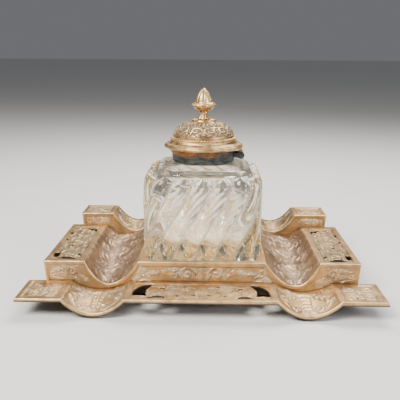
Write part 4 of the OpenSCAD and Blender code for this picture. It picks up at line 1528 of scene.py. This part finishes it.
z = CUP[0][2]
bowl = [
    (2.5 + 4.5 * math.sin(a), z + 0.2 + 3.52 * (1 - math.cos(a)))
    for a in np.linspace(0, 1.4, 14)
]
profile = eased([(ROD_R, z), (2.4, z), *bowl, (7.05, CUP[1][2]), (ROD_R, CUP[1][2])], 0.2)
piece = turned("cup_turning", profile, 160)
finished(piece, "lid", copper, "finial_cup")

z, tip = BUD[0][2], BUD[1][2]
bud_line = [
    (5.75 * (1 - h ** 1.7) ** 0.8, z + 2.6 + (tip - z - 2.6) * h)
    for h in np.linspace(0.03, 0.985, 26)
]
profile = eased(
    [(0.02, z + 5), (ROD_R, z + 5), (ROD_R, z), (7.0, z), (7.4, z + 0.3), (8.35, z + 0.7),
     (7.4, z + 1.5), (5.9, z + 2.2), *bud_line, (0.02, tip)], 0.2
)
LEAVES, BUD_SIDES = 8, 256


def bud_shape(angle, radius, height):
    """Pointed leaves turned out below, and ribs up to the tip."""
    point = np.abs((angle * LEAVES / TAU) % 1 - 0.5) * 2
    crown = (radius > 7.0) & (height < z + 2.3)
    fall = np.where(crown, (radius - 7.0) * (1 - point) ** 0.8, 0)
    above = soft_step(height, z + 2.4, z + 3.4) * (1 - soft_step(height, tip - 2.0, tip - 0.3))
    ribs = np.abs(np.sin(angle * LEAVES / 2)) ** 0.5
    return -fall - 0.6 * above * (1 - ribs) * (radius > 0.6)


angle = np.arange(BUD_SIDES) * TAU / BUD_SIDES
relief = 0.25 + 0.75 * np.abs(np.sin(angle * LEAVES / 2))[None, :] ** 0.7 * np.ones((len(profile), 1))
piece = turned("bud_casting", profile, BUD_SIDES, bud_shape, {"relief": relief}, closed=False)
finished(piece, "lid", lid_brass, "finial_bud")


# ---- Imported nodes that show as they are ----

for material, nodes in (
    (brass, ("foot_front_left", "foot_front_right", "foot_rear_left", "foot_rear_right")),
    (lid_brass, ("lid_liner", "lid_knuckle")),
    (verdigris, ("collar_knuckles", "hinge_pin")),
    (steel, ("finial_rod", "finial_nut")),
    (plaster, ("neck_cement",)),
):
    for node in nodes:
        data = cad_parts[node].data
        data.materials.clear()
        data.materials.append(material)


# ---- Floor and light ----

bpy.ops.mesh.primitive_plane_add(size=40, location=(0, 0, 0))
floor = bpy.context.object
floor.name = "floor"
finish = Finish("floor")
tone = finish.mix(finish.noise(40, 2), (0.74, 0.73, 0.71), (0.77, 0.76, 0.74))
floor.data.materials.append(finish.surface(finish.glossy(Base_Color=tone, Roughness=0.7)))

world = bpy.data.worlds.new("studio")
bpy.context.scene.world = world
world.use_nodes = True
background = world.node_tree.nodes["Background"]
background.inputs["Color"].default_value = (0.93, 0.95, 1.0, 1)
background.inputs["Strength"].default_value = 0.17
area_light("key", (-0.45, -0.55, 0.75), (0, 0, 0.03), (0.45, 0.45), 18.0, (1.0, 0.96, 0.90))
area_light("top", (0.12, 0.38, 0.66), (0, 0, 0.05), (0.6, 0.4), 8.0, (1.0, 0.98, 0.95))
area_light("fill", (0.7, -0.5, 0.4), (0, 0, 0.05), (0.4, 0.4), 5.5, (0.97, 0.98, 1.0))

make_camera((5.29, -395.81, 151.95), -0.0187, 0.2371, 0.0062, 54)
